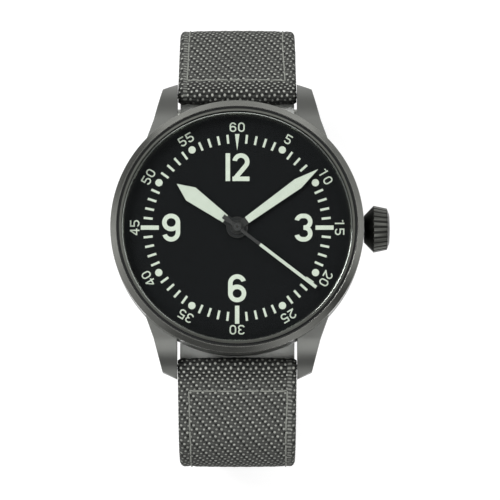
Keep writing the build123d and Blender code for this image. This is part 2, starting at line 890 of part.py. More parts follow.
def make_hands():
    """Hour, minute and second hands with their luminous fillings."""
    for name, bottom, angle, hub, start, start_width, wide_place, wide, tip, bore in (
            ("hour", hour_hand_z, hour_angle, hour_hub_radius, hour_lume_start, hour_lume_width,
             hour_wide_place, hour_wide, hour_tip, hour_pipe_outer),
            ("minute", minute_hand_z, minute_angle, minute_hub_radius, minute_lume_start, minute_lume_width,
             minute_wide_place, minute_wide, minute_tip, cannon_outer)):
        inner_tip = tip - hand_border
        window = hand_outline(start, start_width, wide_place, wide, inner_tip, hand_tip_width / 2, 0)
        blade = hand_outline(start, start_width, wide_place, wide, inner_tip, hand_tip_width, hand_border)
        stem = flat([(-start_width / 2 - hand_border, start), (start_width / 2 + hand_border, start),
                     (start_width / 2 + hand_border, 0), (-start_width / 2 - hand_border, 0)])
        face = Circle(hub) + stem + blade - window - Circle(bore)
        keep(f"{name}_hand", clockwise(angle, Pos(0, 0, bottom) * extrude(face, amount=hand_thickness)))
        filling = extrude(window, amount=hand_thickness + lume_rise)
        keep(f"{name}_hand_lume", clockwise(angle, Pos(0, 0, bottom) * filling))
    half = second_width / 2
    stalk = flat([(-half, 0), (-half, second_lume_start), (half, second_lume_start), (half, 0)])
    tail = flat([(-half, 0), (half, 0), (second_tail_width / 2, -second_tail),
                 (-second_tail_width / 2, -second_tail)])
    face = Circle(second_hub_radius) + stalk + tail - Circle(seconds_arbor_radius)
    hand = Pos(0, 0, second_hand_z) * extrude(face, amount=hand_thickness)
    keep("second_hand", clockwise(second_angle, hand))
    lit = flat([(-half, second_lume_start), (-half, second_tip), (half, second_tip),
                (half, second_lume_start)])
    lit = Pos(0, 0, second_hand_z) * extrude(lit, amount=hand_thickness)
    keep("second_hand_lume", clockwise(second_angle, lit))


def link(start, end, width):
    """A flat bar between two points, with round ends."""
    length = hypot(end[0] - start[0], end[1] - start[1])
    angle = degrees(atan2(end[1] - start[1], end[0] - start[0]))
    bar = ribbon(start, angle, [(length, 0)], width / 2, width / 2)
    return bar + Pos(*start) * Circle(width / 2) + Pos(*end) * Circle(width / 2)


def polar(radius, angle):
    """The point at a radius and an angle from the dial's centre."""
    return (radius * cos(radians(angle)), radius * sin(radians(angle)))


def spoked(face, rim_radius, hub_radius, count, width):
    """Open a wheel between hub and rim, leaving spokes."""
    gap = Circle(rim_radius) - Circle(hub_radius)
    for index in range(count):
        middle = (rim_radius + hub_radius) / 2
        gap -= Rot(0, 0, index * 360 / count) * (Pos(middle, 0) * Rectangle(rim_radius, width))
    return face - gap


def wheel(teeth, pitch_radius, phase, bottom):
    """A spoked train wheel, centred on the axis."""
    face = gear_face(teeth, pitch_radius, phase)
    rim, hub = pitch_radius * wheel_rim_share, pitch_radius * wheel_hub_share
    face = spoked(face, rim, hub, spoke_count, spoke_width)
    return Pos(0, 0, bottom) * extrude(face, amount=wheel_thickness)


def arbor(body_bottom, body_top):
    """An arbor with its two pivots, from the bridge's jewel to the main plate."""
    body = rod(arbor_radius, body_bottom, body_top)
    return body + rod(pivot_radius, bridge_bottom + pivot_inset, plate_bottom + pivot_depth - pivot_clearance)


def bridges():
    """The flat outlines of the barrel bridge, the train bridge and the balance cock."""
    whole = Circle(bridge_radius)
    reach = 2 * bridge_radius
    upper = Pos(0, bridge_split + reach / 2) * Rectangle(reach, reach)
    lower = Pos(0, bridge_split - bridge_gap - reach / 2) * Rectangle(reach, reach)
    crown_seat = Pos(crown_wheel_place, 0) * Circle(crown_seat_radius)
    barrel_face = (upper + crown_seat) & whole
    cock_line = [(balance_x, balance_y), polar(bridge_radius + overrun, balance_direction)]
    cock = link(*cock_line, cock_width) & whole
    opening = link(*cock_line, cock_width + 2 * bridge_gap)
    opening += Pos(balance_x, balance_y) * Circle(balance_opening)
    opening += Pos(crown_wheel_place, 0) * Circle(crown_seat_radius + bridge_gap)
    train_face = (lower & whole) - opening
    return barrel_face, train_face, cock


def bridge(face):
    """A bridge plate with a foot along its rim that stands on the main plate."""
    plate = Pos(0, 0, bridge_bottom) * extrude(face, amount=bridge_thickness)
    foot = face & (Circle(bridge_radius) - Circle(foot_inner_radius))
    return plate + Pos(0, 0, bridge_top) * extrude(foot, amount=plate_bottom - bridge_top)


def screw_bodies(place, angles):
    """Screws with slotted heads on the bridges' back face."""
    screws = []
    for angle in angles:
        x, y = polar(place, angle)
        head = rod(screw_head_radius, bridge_bottom - screw_head_height, bridge_bottom)
        head -= Rot(0, 0, angle) * block(
            -screw_head_radius, screw_head_radius, -screw_slot_width / 2, screw_slot_width / 2,
            bridge_bottom - screw_head_height, bridge_bottom - screw_head_height + screw_slot_depth)
        head += rod(screw_shank_radius, bridge_bottom, bridge_bottom + screw_shank_length)
        screws.append(Pos(x, y, 0) * head)
    return screws


def make_plates():
    """Main plate, bridges, jewels, screws, movement ring and clamps."""
    barrel_face, train_face, cock_face = bridges()
    seats = [(third_x, third_y), (escape_x, escape_y), (pallet_x, pallet_y), (0, 0)]
    jewels = []
    train = bridge(train_face)
    cock = bridge(cock_face)
    for x, y in seats + [(balance_x, balance_y)]:
        seat = rod(jewel_radius, bridge_bottom, bridge_bottom + jewel_height, x, y)
        hole = rod(pivot_radius + pivot_clearance, bridge_bottom, bridge_top, x, y)
        jewels.append(seat - hole)
        train -= seat + hole
        cock -= seat + hole
    keep("jewels", group(jewels))

    screws = screw_bodies(screw_place, barrel_screw_angles + train_screw_angles)
    screws += screw_bodies(cock_screw_place, (balance_direction,))
    barrel = bridge(barrel_face)
    wheel_recess = bridge_bottom + winding_wheel_height + running_gap
    barrel -= rod(crown_wheel_recess, bridge_bottom, wheel_recess, crown_wheel_place, 0)
    barrel -= rod(ratchet_recess, bridge_bottom, wheel_recess, barrel_x, barrel_y)
    barrel += rod(post_radius, winding_wheel_bottom - part_clearance, wheel_recess, crown_wheel_place, 0)
    barrel -= rod(barrel_arbor_radius + part_clearance, bridge_bottom, bridge_top, barrel_x, barrel_y)
    pinion_room_end = winding_pinion_start + winding_pinion_length + running_gap
    barrel -= block(winding_pinion_start - running_gap, pinion_room_end, -window_half_width,
                    window_half_width, bridge_bottom + winding_wheel_height / 2, bridge_top)
    cap = rod(keyless_screw_radius, bridge_bottom - keyless_screw_height, bridge_bottom, crown_wheel_place, 0)
    cap -= Pos(crown_wheel_place, 0, 0) * block(
        -keyless_screw_radius, keyless_screw_radius, -screw_slot_width, screw_slot_width,
        bridge_bottom - keyless_screw_height, bridge_bottom - keyless_screw_height / 2)
    screws.append(cap)
    shanks = [rod(screw_shank_radius, bridge_bottom, bridge_bottom + screw_shank_length,
                  *polar(screw_place, angle))
              for angle in barrel_screw_angles + train_screw_angles]
    shanks.append(rod(screw_shank_radius, bridge_bottom, bridge_bottom + screw_shank_length,
                      *polar(cock_screw_place, balance_direction)))
    for shank in shanks:
        barrel -= shank
        train -= shank
        cock -= shank
    cock += rod(hairspring_stud_radius, bridge_top, hairspring_z + hairspring_height,
                *hairspring_end())
    keep("barrel_bridge", barrel)
    keep("train_bridge", train)
    keep("balance_cock", cock)

    arm_end = polar(automatic_arm_reach, automatic_arm_angle)
    second_end = polar(automatic_short_reach, automatic_short_angle)
    face = Circle(automatic_hub_radius) + link((0, 0), arm_end, automatic_arm_width)
    face += link((0, 0), second_end, automatic_short_width)
    automatic = Pos(0, 0, automatic_bottom) * extrude(face, amount=bridge_bottom - automatic_bottom)
    for x, y in (arm_end, second_end):
        head = rod(screw_head_radius, automatic_bottom - screw_head_height, automatic_bottom, x, y)
        head -= Pos(x, y, 0) * block(
            -screw_head_radius, screw_head_radius, -screw_slot_width / 2, screw_slot_width / 2,
            automatic_bottom - screw_head_height, automatic_bottom - screw_head_height + screw_slot_depth)
        screws.append(head)
    keep("automatic_bridge", automatic)

    plate = rod(plate_radius, plate_bottom, plate_top)
    plate -= rod(barrel_pocket_radius, plate_bottom, plate_bottom + barrel_pocket_depth, barrel_x, barrel_y)
    plate -= rod(barrel_pivot_radius + part_clearance, plate_bottom, plate_top - part_clearance,
                 barrel_x, barrel_y)
    plate -= rod(balance_radius + balance_pocket_gap, plate_bottom, plate_bottom + balance_pocket_depth,
                 balance_x, balance_y)
    plate -= rod(centre_pinion_recess, plate_bottom, barrel_bottom + centre_pinion_height + running_gap)
    plate -= rod(centre_tube_outer + part_clearance, plate_bottom, plate_top)
    for x, y in seats[:3]:
        plate -= rod(pivot_radius + pivot_clearance, plate_bottom, plate_bottom + pivot_depth, x, y)
    plate -= rod(pivot_radius + pivot_clearance, plate_bottom, balance_pivot_top + pivot_clearance,
                 balance_x, balance_y)
    plate -= block(pinion_window_start, pinion_room_end, -window_half_width, window_half_width,
                   plate_bottom, plate_top)
    plate -= Pos(stem_tunnel_middle, 0, stem_z) * Rot(0, 90, 0) * Cylinder(
        stem_radius + running_gap, 2 * (plate_radius - stem_tunnel_middle) + overrun)
    plate -= Pos((stem_pilot_start + pinion_window_start) / 2, 0, stem_z) * Rot(0, 90, 0) * Cylinder(
        stem_pilot_radius + part_clearance, pinion_window_start - stem_pilot_start + 2 * running_gap)
    plate -= block(lever_x - lever_room, lever_x + lever_room, -nub_slot_half, nub_slot_half,
                   stem_z, plate_top)
    plate -= block(lever_x - lever_room, lever_x + lever_room, -lever_room, lever_width / 2 + running_gap,
                   lever_recess_z, plate_top)
    plate -= block(lever_x - lever_room, lever_x + lever_side_room,
                   lever_pivot_y - lever_width / 2 - running_gap, 0, lever_recess_z, plate_top)
    plate += rod(stud_radius, lever_recess_z, lever_z + lever_thickness, lever_x, lever_pivot_y)
    plate += rod(stud_radius, plate_top, hour_wheel_z + motion_thickness, minute_wheel_x, minute_wheel_y)
    keep("main_plate", plate)

    holder = turned([(ring_inner_radius, plate_bottom), (ring_foot_inner_radius, plate_bottom),
                     (ring_foot_inner_radius, case_bottom + back_flange_height),
                     (dial_radius, case_bottom + back_flange_height), (dial_radius, dial_bottom),
                     (ring_shelf_radius, dial_bottom), (ring_shelf_radius, plate_top),
                     (ring_inner_radius, plate_top)])
    holder -= Pos((ring_inner_radius + dial_radius) / 2, 0, stem_z) * Rot(0, 90, 0) * Cylinder(
        tube_inner, dial_radius)
    keep("movement_ring", holder)
    clamps = []
    for angle in clamp_angles:
        clamp = block(clamp_inner, clamp_outer, -clamp_width / 2, clamp_width / 2,
                      plate_bottom - clamp_thickness, plate_bottom)
        clamps.append(Rot(0, 0, angle) * clamp)
        x, y = polar(clamp_screw_place, angle)
        top = plate_bottom - clamp_thickness
        head = rod(screw_head_radius, top - screw_head_height, top)
        head -= block(-screw_head_radius, screw_head_radius, -screw_slot_width / 2, screw_slot_width / 2,
                      top - screw_head_height, top - screw_head_height + screw_slot_depth)
        screws.append(Pos(x, y, 0) * head)
    keep("casing_clamps", group(clamps))
    keep("movement_screws", group(screws))


def hairspring_route():
    """The start and the growing half turns of the hairspring."""
    moves = [(hairspring_start_radius + index * hairspring_pitch, 180)
             for index in range(2 * hairspring_turns)]
    x, y = polar(hairspring_start_radius, balance_direction)
    return (balance_x + x, balance_y + y), balance_direction + 90, moves


def hairspring_end():
    """The place of the hairspring's outer end."""
    return walk(*hairspring_route())[-1][:2]


def make_train():
    """The wheels from the barrel to the escape wheel, and the motion work under the dial."""
    drum = gear(barrel_teeth, barrel_pitch, barrel_bottom, barrel_tooth_height,
                meshed(0, centre_pinion_teeth, barrel_direction, barrel_teeth))
    drum_top = barrel_bottom + barrel_height
    drum += rod(barrel_drum_radius, barrel_bottom, drum_top)
    drum -= rod(barrel_drum_radius - barrel_floor, barrel_bottom + barrel_tooth_height,
                drum_top - barrel_floor)
    drum -= rod(barrel_arbor_radius + part_clearance, barrel_bottom, drum_top)
    keep("barrel_drum", Pos(barrel_x, barrel_y, 0) * drum)
    moves = [(mainspring_start_radius + index * mainspring_pitch, 180) for index in range(mainspring_turns)]
    half = mainspring_width / 2
    coil = ribbon((barrel_x + mainspring_start_radius, barrel_y), 90, moves, half, half)
    coil_bottom = barrel_bottom + barrel_tooth_height + running_gap
    keep("mainspring", Pos(0, 0, coil_bottom) * extrude(
        coil, amount=drum_top - barrel_floor - running_gap - coil_bottom))

    centre = wheel(centre_wheel_teeth, centre_wheel_pitch, 0, centre_wheel_z)
    centre += gear(centre_pinion_teeth, centre_pinion_pitch, barrel_bottom, centre_pinion_height, 0)
    centre += rod(centre_tube_outer, centre_wheel_z - running_gap, minute_hand_z)
    centre -= rod(centre_tube_inner, centre_wheel_z - running_gap, minute_hand_z)
    keep("centre_wheel", centre)
    cannon = gear(cannon_teeth, cannon_pitch, cannon_z, cannon_height, 0)
    cannon += rod(cannon_outer, cannon_z, minute_hand_z + hand_thickness)
    cannon -= rod(centre_tube_outer, cannon_z, minute_hand_z)
    cannon -= rod(centre_tube_inner, minute_hand_z, minute_hand_z + hand_thickness)
    keep("cannon_pinion", cannon)
    hour = gear(hour_wheel_teeth, hour_wheel_pitch, hour_wheel_z, motion_thickness, 0)
    hour += rod(hour_pipe_outer, hour_wheel_z, hour_hand_z + hand_thickness)
    hour -= rod(hour_pipe_inner, hour_wheel_z, hour_hand_z + hand_thickness)
    keep("hour_wheel", hour)
    minute = gear(minute_wheel_teeth, minute_wheel_pitch, minute_wheel_z, motion_thickness,
                  meshed(0, cannon_teeth, motion_direction, minute_wheel_teeth))
    minute += gear(minute_pinion_teeth, minute_pinion_pitch, minute_wheel_z, minute_pinion_height,
                   meshed(0, hour_wheel_teeth, motion_direction, minute_pinion_teeth))
    minute -= rod(stud_radius + pivot_clearance, minute_wheel_z, minute_wheel_z + minute_pinion_height)
    keep("minute_wheel", Pos(minute_wheel_x, minute_wheel_y, 0) * minute)

    third = wheel(third_wheel_teeth, third_wheel_pitch,
                  meshed(0, fourth_pinion_teeth, third_direction, third_wheel_teeth), third_wheel_z)
    third += gear(third_pinion_teeth, third_pinion_pitch, centre_wheel_z - running_gap, pinion_height,
                  meshed(0, centre_wheel_teeth, third_direction, third_pinion_teeth))
    third += arbor(train_run_z, centre_wheel_z + wheel_thickness + running_gap)
    keep("third_wheel", Pos(third_x, third_y, 0) * third)
    fourth = wheel(fourth_wheel_teeth, fourth_wheel_pitch, 0, fourth_wheel_z)
    fourth += gear(fourth_pinion_teeth, fourth_pinion_pitch, fourth_wheel_z, pinion_step_z + running_gap
                   - fourth_wheel_z, 0)
    fourth += rod(seconds_arbor_radius, bridge_bottom + pivot_inset,
                  second_hand_z + hand_thickness + pin_rise)
    keep("fourth_wheel", fourth)
    escape = gear(escape_pinion_teeth, escape_pinion_pitch, train_run_z, pinion_height,
                  meshed(0, fourth_wheel_teeth, escape_direction, escape_pinion_teeth))
    corners = []
    for tooth in range(escape_wheel_teeth):
        for radius, share in ((escape_radius, 0), (escape_root_radius, escape_back_share),
                              (escape_root_radius, escape_front_share)):
            corners.append(polar(radius, (tooth + share) * 360 / escape_wheel_teeth))
    face = spoked(flat(corners), escape_root_radius * wheel_rim_share, escape_root_radius * escape_hub_share,
                  escape_spoke_count, spoke_width)
    escape += Pos(0, 0, escape_wheel_z) * extrude(face, amount=wheel_thickness)
    escape += arbor(train_run_z, escape_wheel_z + wheel_thickness)
    keep("escape_wheel", Pos(escape_x, escape_y, 0) * escape)


def make_escapement():
    """Pallet fork, balance wheel and hairspring."""
    pivot = (pallet_x, pallet_y)
    to_balance = atan2(balance_y - pallet_y, balance_x - pallet_x)
    reach = hypot(balance_x - pallet_x, balance_y - pallet_y)
    reach -= roller_pin_place + roller_pin_radius + running_gap
    end = (pallet_x + reach * cos(to_balance), pallet_y + reach * sin(to_balance))
    face = Pos(*pivot) * Circle(fork_hub_radius) + link(pivot, end, fork_width)
    face -= Pos(end[0], end[1]) * Circle(fork_notch_radius)
    to_pallet = degrees(atan2(pallet_y - escape_y, pallet_x - escape_x))
    for side in (-1, 1):
        angle = to_pallet + side * stone_angle
        near, far = polar(escape_radius + stone_clearance, angle), polar(
            escape_radius + stone_clearance + stone_length, angle)
        near = (escape_x + near[0], escape_y + near[1])
        far = (escape_x + far[0], escape_y + far[1])
        heading = degrees(atan2(far[1] - near[1], far[0] - near[0]))
        face += ribbon(near, heading, [(stone_length, 0)], stone_width / 2, stone_width / 2)
        face += link(pivot, far, stone_width)
    fork = Pos(0, 0, escape_wheel_z) * extrude(face, amount=wheel_thickness)
    fork += Pos(pallet_x, pallet_y, 0) * arbor(train_run_z, escape_wheel_z + wheel_thickness)
    keep("pallet_fork", fork)

    rim_top = balance_z + balance_rim_height
    balance = ring(balance_radius, balance_radius - balance_rim_width, balance_z, rim_top)
    arm_half = balance_radius - balance_rim_width / 2
    balance += block(-arm_half, arm_half, -balance_arm_width / 2, balance_arm_width / 2,
                     balance_z + running_gap, rim_top - running_gap)
    balance += rod(collet_radius, balance_z, rim_top)
    balance += rod(roller_radius, roller_z, roller_z + running_gap)
    balance += rod(roller_pin_radius, escape_wheel_z - running_gap, roller_z, roller_pin_place, 0)
    balance += rod(collet_radius, train_run_z, hairspring_z + hairspring_height)
    balance += rod(arbor_radius, train_run_z, rim_top + running_gap)
    balance += rod(pivot_radius, bridge_bottom + pivot_inset, balance_pivot_top)
    keep("balance_wheel", Pos(balance_x, balance_y, 0) * Rot(0, 0, degrees(to_balance) + 180) * balance)
    half = hairspring_width / 2
    spiral = ribbon(*hairspring_route(), half, half)
    keep("hairspring", Pos(0, 0, hairspring_z) * extrude(spiral, amount=hairspring_height))


def make_winding():
    """Ratchet and crown wheels, stem with its pinions, setting lever, crown and rotor."""
    crown_to_barrel = degrees(atan2(barrel_y, barrel_x - crown_wheel_place))
    crown_wheel = gear(crown_wheel_teeth, crown_wheel_pitch, winding_wheel_bottom, winding_wheel_height, 0,
                       crown_wheel_place, 0, post_radius + part_clearance)
    keep("crown_wheel", crown_wheel)
    ratchet = gear(ratchet_teeth, ratchet_pitch, winding_wheel_bottom, winding_wheel_height,
                   meshed(0, crown_wheel_teeth, crown_to_barrel, ratchet_teeth))
    ratchet += rod(barrel_arbor_radius, winding_wheel_bottom, barrel_bottom + barrel_height)
    ratchet += rod(barrel_pivot_radius, barrel_bottom, plate_top - running_gap)
    ratchet += rod(keyless_screw_radius, bridge_bottom - keyless_screw_height, winding_wheel_bottom)
    ratchet -= block(-keyless_screw_radius, keyless_screw_radius, -screw_slot_width, screw_slot_width,
                     bridge_bottom - keyless_screw_height, bridge_bottom - keyless_screw_height / 2)
    keep("ratchet_wheel", Pos(barrel_x, barrel_y, 0) * ratchet)

    pinion = gear(winding_pinion_teeth, winding_pinion_pitch, 0, winding_pinion_length, 0, 0, 0,
                  stem_radius + part_clearance)
    keep("winding_pinion", Pos(winding_pinion_start, 0, stem_z) * Rot(0, 90, 0) * pinion)
    sliding_end = sliding_pinion_start + sliding_pinion_length
    groove_start = sliding_pinion_start + sliding_pinion_length * sliding_groove_share
    groove_end = sliding_end - sliding_pinion_length * sliding_groove_share
    keep("sliding_pinion", turned_on_stem([
        (sliding_pinion_start, stem_radius + part_clearance), (sliding_pinion_start, sliding_pinion_radius),
        (groove_start, sliding_pinion_radius), (groove_start, sliding_groove_radius),
        (groove_end, sliding_groove_radius), (groove_end, sliding_pinion_radius),
        (sliding_end, sliding_pinion_radius), (sliding_end, stem_radius + part_clearance)]))
    groove = stem_groove_width / 2
    keep("winding_stem", turned_on_stem([
        (stem_pilot_start, 0), (stem_pilot_start, stem_pilot_radius), (stem_pilot_end, stem_pilot_radius),
        (stem_pilot_end, stem_radius), (stem_groove_place - groove, stem_radius),
        (stem_groove_place - groove, stem_groove_radius), (stem_groove_place + groove, stem_groove_radius),
        (stem_groove_place + groove, stem_radius), (crown_stem_end, stem_radius), (crown_stem_end, 0)]))
    lever = link((lever_x, lever_pivot_y), (stem_groove_place, lever_nub_y), lever_width)
    lever -= Pos(lever_x, lever_pivot_y) * Circle(stud_radius + pivot_clearance)
    lever = Pos(0, 0, lever_z) * extrude(lever, amount=lever_thickness)
    lever += rod(nub_radius, lever_z - nub_reach, lever_z, stem_groove_place, lever_nub_y)
    keep("setting_lever", lever)

    crown = turned_on_stem([
        (crown_start, crown_bore_radius), (crown_start, crown_neck_radius), (crown_shoulder, crown_radius),
        (crown_barrel_end, crown_end_radius), (crown_dome_edge, crown_dome_radius), (crown_end, 0),
        (crown_stem_end, 0), (crown_stem_end, stem_radius), (crown_bore_end, stem_radius),
        (crown_bore_end, crown_bore_radius)])
    slope = degrees(atan2(crown_radius - crown_end_radius, crown_barrel_end - crown_shoulder))
    middle = ((crown_shoulder + crown_barrel_end) / 2, (crown_radius + crown_end_radius) / 2)
    flute = Pos(middle[0], 0, middle[1] + flute_lift) * Rot(0, 90 + slope, 0) * Cylinder(
        flute_radius, crown_barrel_end - crown_shoulder + 2 * overrun)
    for index in range(flute_count):
        crown -= Pos(0, 0, stem_z) * Rot(index * 360 / flute_count, 0, 0) * flute
    keep("crown", crown)

    sector = make_face([
        Line((0, 0), polar(rotor_radius + overrun, rotor_start)),
        ThreePointArc(polar(rotor_radius + overrun, rotor_start),
                      polar(rotor_radius + overrun, rotor_start + rotor_span / 2),
                      polar(rotor_radius + overrun, rotor_start + rotor_span)),
        Line(polar(rotor_radius + overrun, rotor_start + rotor_span), (0, 0))])
    rim = (Circle(rotor_radius) - Circle(rotor_rim_inner)) & sector
    web = (Circle(rotor_rim_inner + running_gap) - Circle(rotor_bore_radius)) & sector
    for index in range(rotor_slot_count):
        angle = rotor_start + rotor_span * (index + 1) / (rotor_slot_count + 1)
        web -= link(polar(rotor_slot_inner, angle), polar(rotor_slot_outer, angle), rotor_slot_width)
    rotor = Pos(0, 0, rotor_bottom) * extrude(rim, amount=rotor_rim_height)
    rotor += Pos(0, 0, rotor_web_z) * extrude(web, amount=rotor_web_thickness)
    rotor += ring(rotor_hub_radius, rotor_bore_radius, bearing_start, automatic_bottom - running_gap)
    keep("rotor", rotor)
    bearing = rod(bearing_radius, bearing_start, automatic_bottom)
    bearing -= block(-bearing_radius, bearing_radius, -screw_slot_width, screw_slot_width,
                     bearing_start, bearing_start + 2 * screw_slot_depth)
    keep("rotor_bearing", bearing)


def stop_at(route, distance):
    """The stop that lies at a distance along a route."""
    start, heading, moves = route
    done = []
    for size, turn in moves:
        length = size if turn == 0 else size * radians(abs(turn))
        if distance <= length:
            part_move = (distance, 0) if turn == 0 else (size, turn * distance / length)
            return walk(start, heading, done + [part_move])[-1]
        distance -= length
        done.append((size, turn))
    return walk(start, heading, moves)[-1]


def route_length(moves):
    """The length of a route's middle line."""
    return sum(size if turn == 0 else size * radians(abs(turn)) for size, turn in moves)


def local_frame(stop):
    """A frame at a stop of the strap: X across, Y along the strap and Z out of its outer face."""
    out = beside((0, 0, stop[2]), 1)
    return Plane(origin=(0, stop[0], stop[1]), x_dir=(1, 0, 0), z_dir=(0, out[0], out[1])).location


def strap_layers(route, end_roll):
    """The woven layer with its rolled ends, and the lining behind it, on the 12 o'clock side."""
    start, heading, moves = route
    seam = strap_half - lining_thickness
    outer = ribbon(start, heading, moves, seam, strap_half)
    lining = ribbon(start, heading, moves, strap_half, -seam)
    bores = Pos(*start) * Circle(bar_radius + roll_bore_clearance)
    rolls = Pos(*start) * Circle(roll_radius)
    end = walk(*route)[-1]
    if end_roll:
        bores += Pos(end[0], end[1]) * Circle(buckle_bar_radius + roll_bore_clearance)
        rolls += Pos(end[0], end[1]) * Circle(buckle_roll_radius)
    taper_end = bar_z - strap_taper_length
    strap_depth = min(stop[1] for stop in walk(*route)) - strap_thickness
    taper = flat([(-strap_width / 2, bar_z + roll_radius), (strap_width / 2, bar_z + roll_radius),
                  (strap_width / 2, bar_z), (strap_end_width / 2, taper_end),
                  (strap_end_width / 2, strap_depth), (-strap_end_width / 2, strap_depth),
                  (-strap_end_width / 2, taper_end), (-strap_width / 2, bar_z)])
    prism = extrude(Plane.XZ * taper, amount=2 * lug_reach, both=True)
    layers = []
    for face in (outer + rolls - bores, lining - rolls):
        solid = extrude(Plane.YZ * face, amount=strap_width / 2, both=True)
        layers.append(solid & prism)
    return layers


def make_strap():
    """Both strap halves, the keepers and the buckle."""
    long_route = ((bar_y, bar_z), long_leave,
                  [(long_first_run, 0), (long_bend_radius, -90 - long_leave - long_lean), (long_drop, 0),
                   (long_foot_radius, long_lean - 90), (long_foot_run, 0)])
    layers = strap_layers(long_route, False)
    length = route_length(long_route[2])
    tip = walk(*long_route)[-1]
    corner = block(-strap_width, strap_width, tip[0] - overrun, tip[0] + strap_tip_radius,
                   tip[1] - strap_thickness, tip[1] + strap_thickness)
    corner -= rod(strap_tip_radius, tip[1] - strap_thickness, tip[1] + strap_thickness, 0,
                  tip[0] + strap_tip_radius)
    cutters = [corner]
    for index in range(hole_count):
        stop = stop_at(long_route, length - hole_first - index * hole_pitch)
        cutters.append(local_frame(stop) * Cylinder(hole_radius, 2 * strap_thickness))
    for name, layer in zip(("strap_6_outer", "strap_6_lining"), layers):
        for cutter in cutters:
            layer -= cutter
        keep(name, mirror(layer, Plane.XZ))

    short_route = ((bar_y, bar_z), short_leave,
                   [(short_first_run, 0), (short_bend_radius, -90 - short_leave), (short_drop, 0),
                    (short_foot_radius, -short_foot_turn)])
    layers = strap_layers(short_route, True)
    end = walk(*short_route)[-1]
    frame = local_frame(end)
    slot = frame * block(-tongue_slot_width / 2, tongue_slot_width / 2, -tongue_slot_length,
                         2 * buckle_roll_radius, -2 * strap_thickness, 2 * strap_thickness)
    for name, layer in zip(("strap_12_outer", "strap_12_lining"), layers):
        keep(name, layer - slot)

    keeper_moves = short_route[2][:3] + [(short_foot_radius, -keeper_fixed_turn)]
    keeper_stop = walk(short_route[0], short_route[1], keeper_moves)[-1]
    keep("keeper_fixed", local_frame(keeper_stop) * keeper(
        strap_end_width / 2 + keeper_gap, -strap_half - keeper_fixed_sag, strap_half + keeper_spare))
    drop_stop = walk(short_route[0], short_route[1], short_route[2][:2])[-1]
    free_stop = (drop_stop[0], bar_z - keeper_free_drop, drop_stop[2])
    tapered_share = (keeper_free_drop - keeper_free_rise) / strap_taper_length
    widest = strap_width - (strap_width - strap_end_width) * tapered_share
    keep("keeper_free", local_frame(free_stop) * keeper(
        widest / 2 + keeper_gap / 2, -strap_half - keeper_spare, strap_half + keeper_gap))
    make_buckle(frame)


def keeper(half_width, inner, outer):
    """A band around the strap, between its inner and outer faces."""
    half = keeper_length / 2
    band = block(-half_width - keeper_wall, half_width + keeper_wall, -half, half,
                 inner - keeper_wall, outer + keeper_wall)
    return band - block(-half_width, half_width, -keeper_length, keeper_length, inner, outer)


def make_buckle(frame):
    """Buckle frame, bar and tongue, in the frame of the strap's end."""
    inner_half = strap_end_width / 2 + buckle_arm_gap
    outer_half = inner_half + buckle_arm_width
    half = buckle_thickness / 2
    outline = extrude(Pos(0, buckle_length / 2) * Rectangle(2 * outer_half, buckle_length),
                      amount=buckle_thickness)
    outline = fillet(outline.edges().filter_by(Axis.Z).group_by(Axis.Y)[-1], buckle_corner)
    inner_length = buckle_length - buckle_front_width
    body = Pos(0, 0, -half) * outline
    ends = Rot(0, 90, 0) * Cylinder(half, 2 * outer_half)
    body = body + ends - block(-inner_half, inner_half, -half - overrun, inner_length, -half - overrun,
                               half + overrun)
    body -= block(-tongue_width / 2 - running_gap, tongue_width / 2 + running_gap, 0, buckle_length + overrun,
                  half - tongue_rest_depth, half + overrun)
    bar_length = inner_half + buckle_arm_width / 2
    bar = Rot(0, 90, 0) * Cylinder(buckle_bar_radius, 2 * bar_length)
    keep("buckle_frame", frame * (body - bar))
    keep("buckle_bar", frame * bar)
    rest_z = half - tongue_rest_depth + part_clearance + tongue_thickness / 2
    shaft = link((0, 0), (inner_length, rest_z), tongue_thickness)
    shaft += link((inner_length, rest_z), (buckle_length + tongue_overhang, rest_z), tongue_thickness)
    profile = Circle(tongue_eye_radius) + shaft - Circle(buckle_bar_radius + roll_bore_clearance)
    tongue = extrude(Plane.YZ * profile, amount=tongue_width / 2, both=True)
    keep("buckle_tongue", frame * tongue)


make_case()
make_dial()
make_hands()
make_plates()
make_train()
make_escapement()
make_winding()
make_strap()
os.makedirs("parts", exist_ok=True)
for part_name, part_shape in parts.items():
    export_step(part_shape, f"parts/{part_name}.step")
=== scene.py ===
"""A 42 mm pilot's wristwatch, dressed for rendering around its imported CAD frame.

The case is grey coated steel, the dial matte black with pale luminous marks, and the strap woven yarn with a
leather lining. Everything is in metres in the frame of the CAD; sizes below are in millimetres.
"""

import logging
import math
import random
from dataclasses import dataclass, field
from enum import Enum

import bpy
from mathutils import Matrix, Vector

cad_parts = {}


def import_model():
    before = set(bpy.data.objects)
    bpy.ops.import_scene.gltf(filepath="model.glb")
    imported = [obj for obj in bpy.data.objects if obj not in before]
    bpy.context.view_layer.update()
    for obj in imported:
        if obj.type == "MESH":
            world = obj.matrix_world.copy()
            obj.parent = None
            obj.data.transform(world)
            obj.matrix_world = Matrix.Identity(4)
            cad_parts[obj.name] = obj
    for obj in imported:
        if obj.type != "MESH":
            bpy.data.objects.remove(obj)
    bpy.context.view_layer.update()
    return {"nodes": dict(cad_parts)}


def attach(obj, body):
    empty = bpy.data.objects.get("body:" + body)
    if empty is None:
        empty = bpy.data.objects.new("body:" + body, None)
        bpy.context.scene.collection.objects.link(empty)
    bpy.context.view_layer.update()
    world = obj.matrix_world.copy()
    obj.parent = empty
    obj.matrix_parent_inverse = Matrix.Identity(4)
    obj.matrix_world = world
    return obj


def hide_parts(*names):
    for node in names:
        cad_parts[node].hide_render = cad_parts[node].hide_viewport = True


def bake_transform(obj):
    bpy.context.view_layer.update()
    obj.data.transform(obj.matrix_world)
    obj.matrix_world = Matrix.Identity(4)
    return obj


MM = 0.001
IMAGE_PIXELS = 500

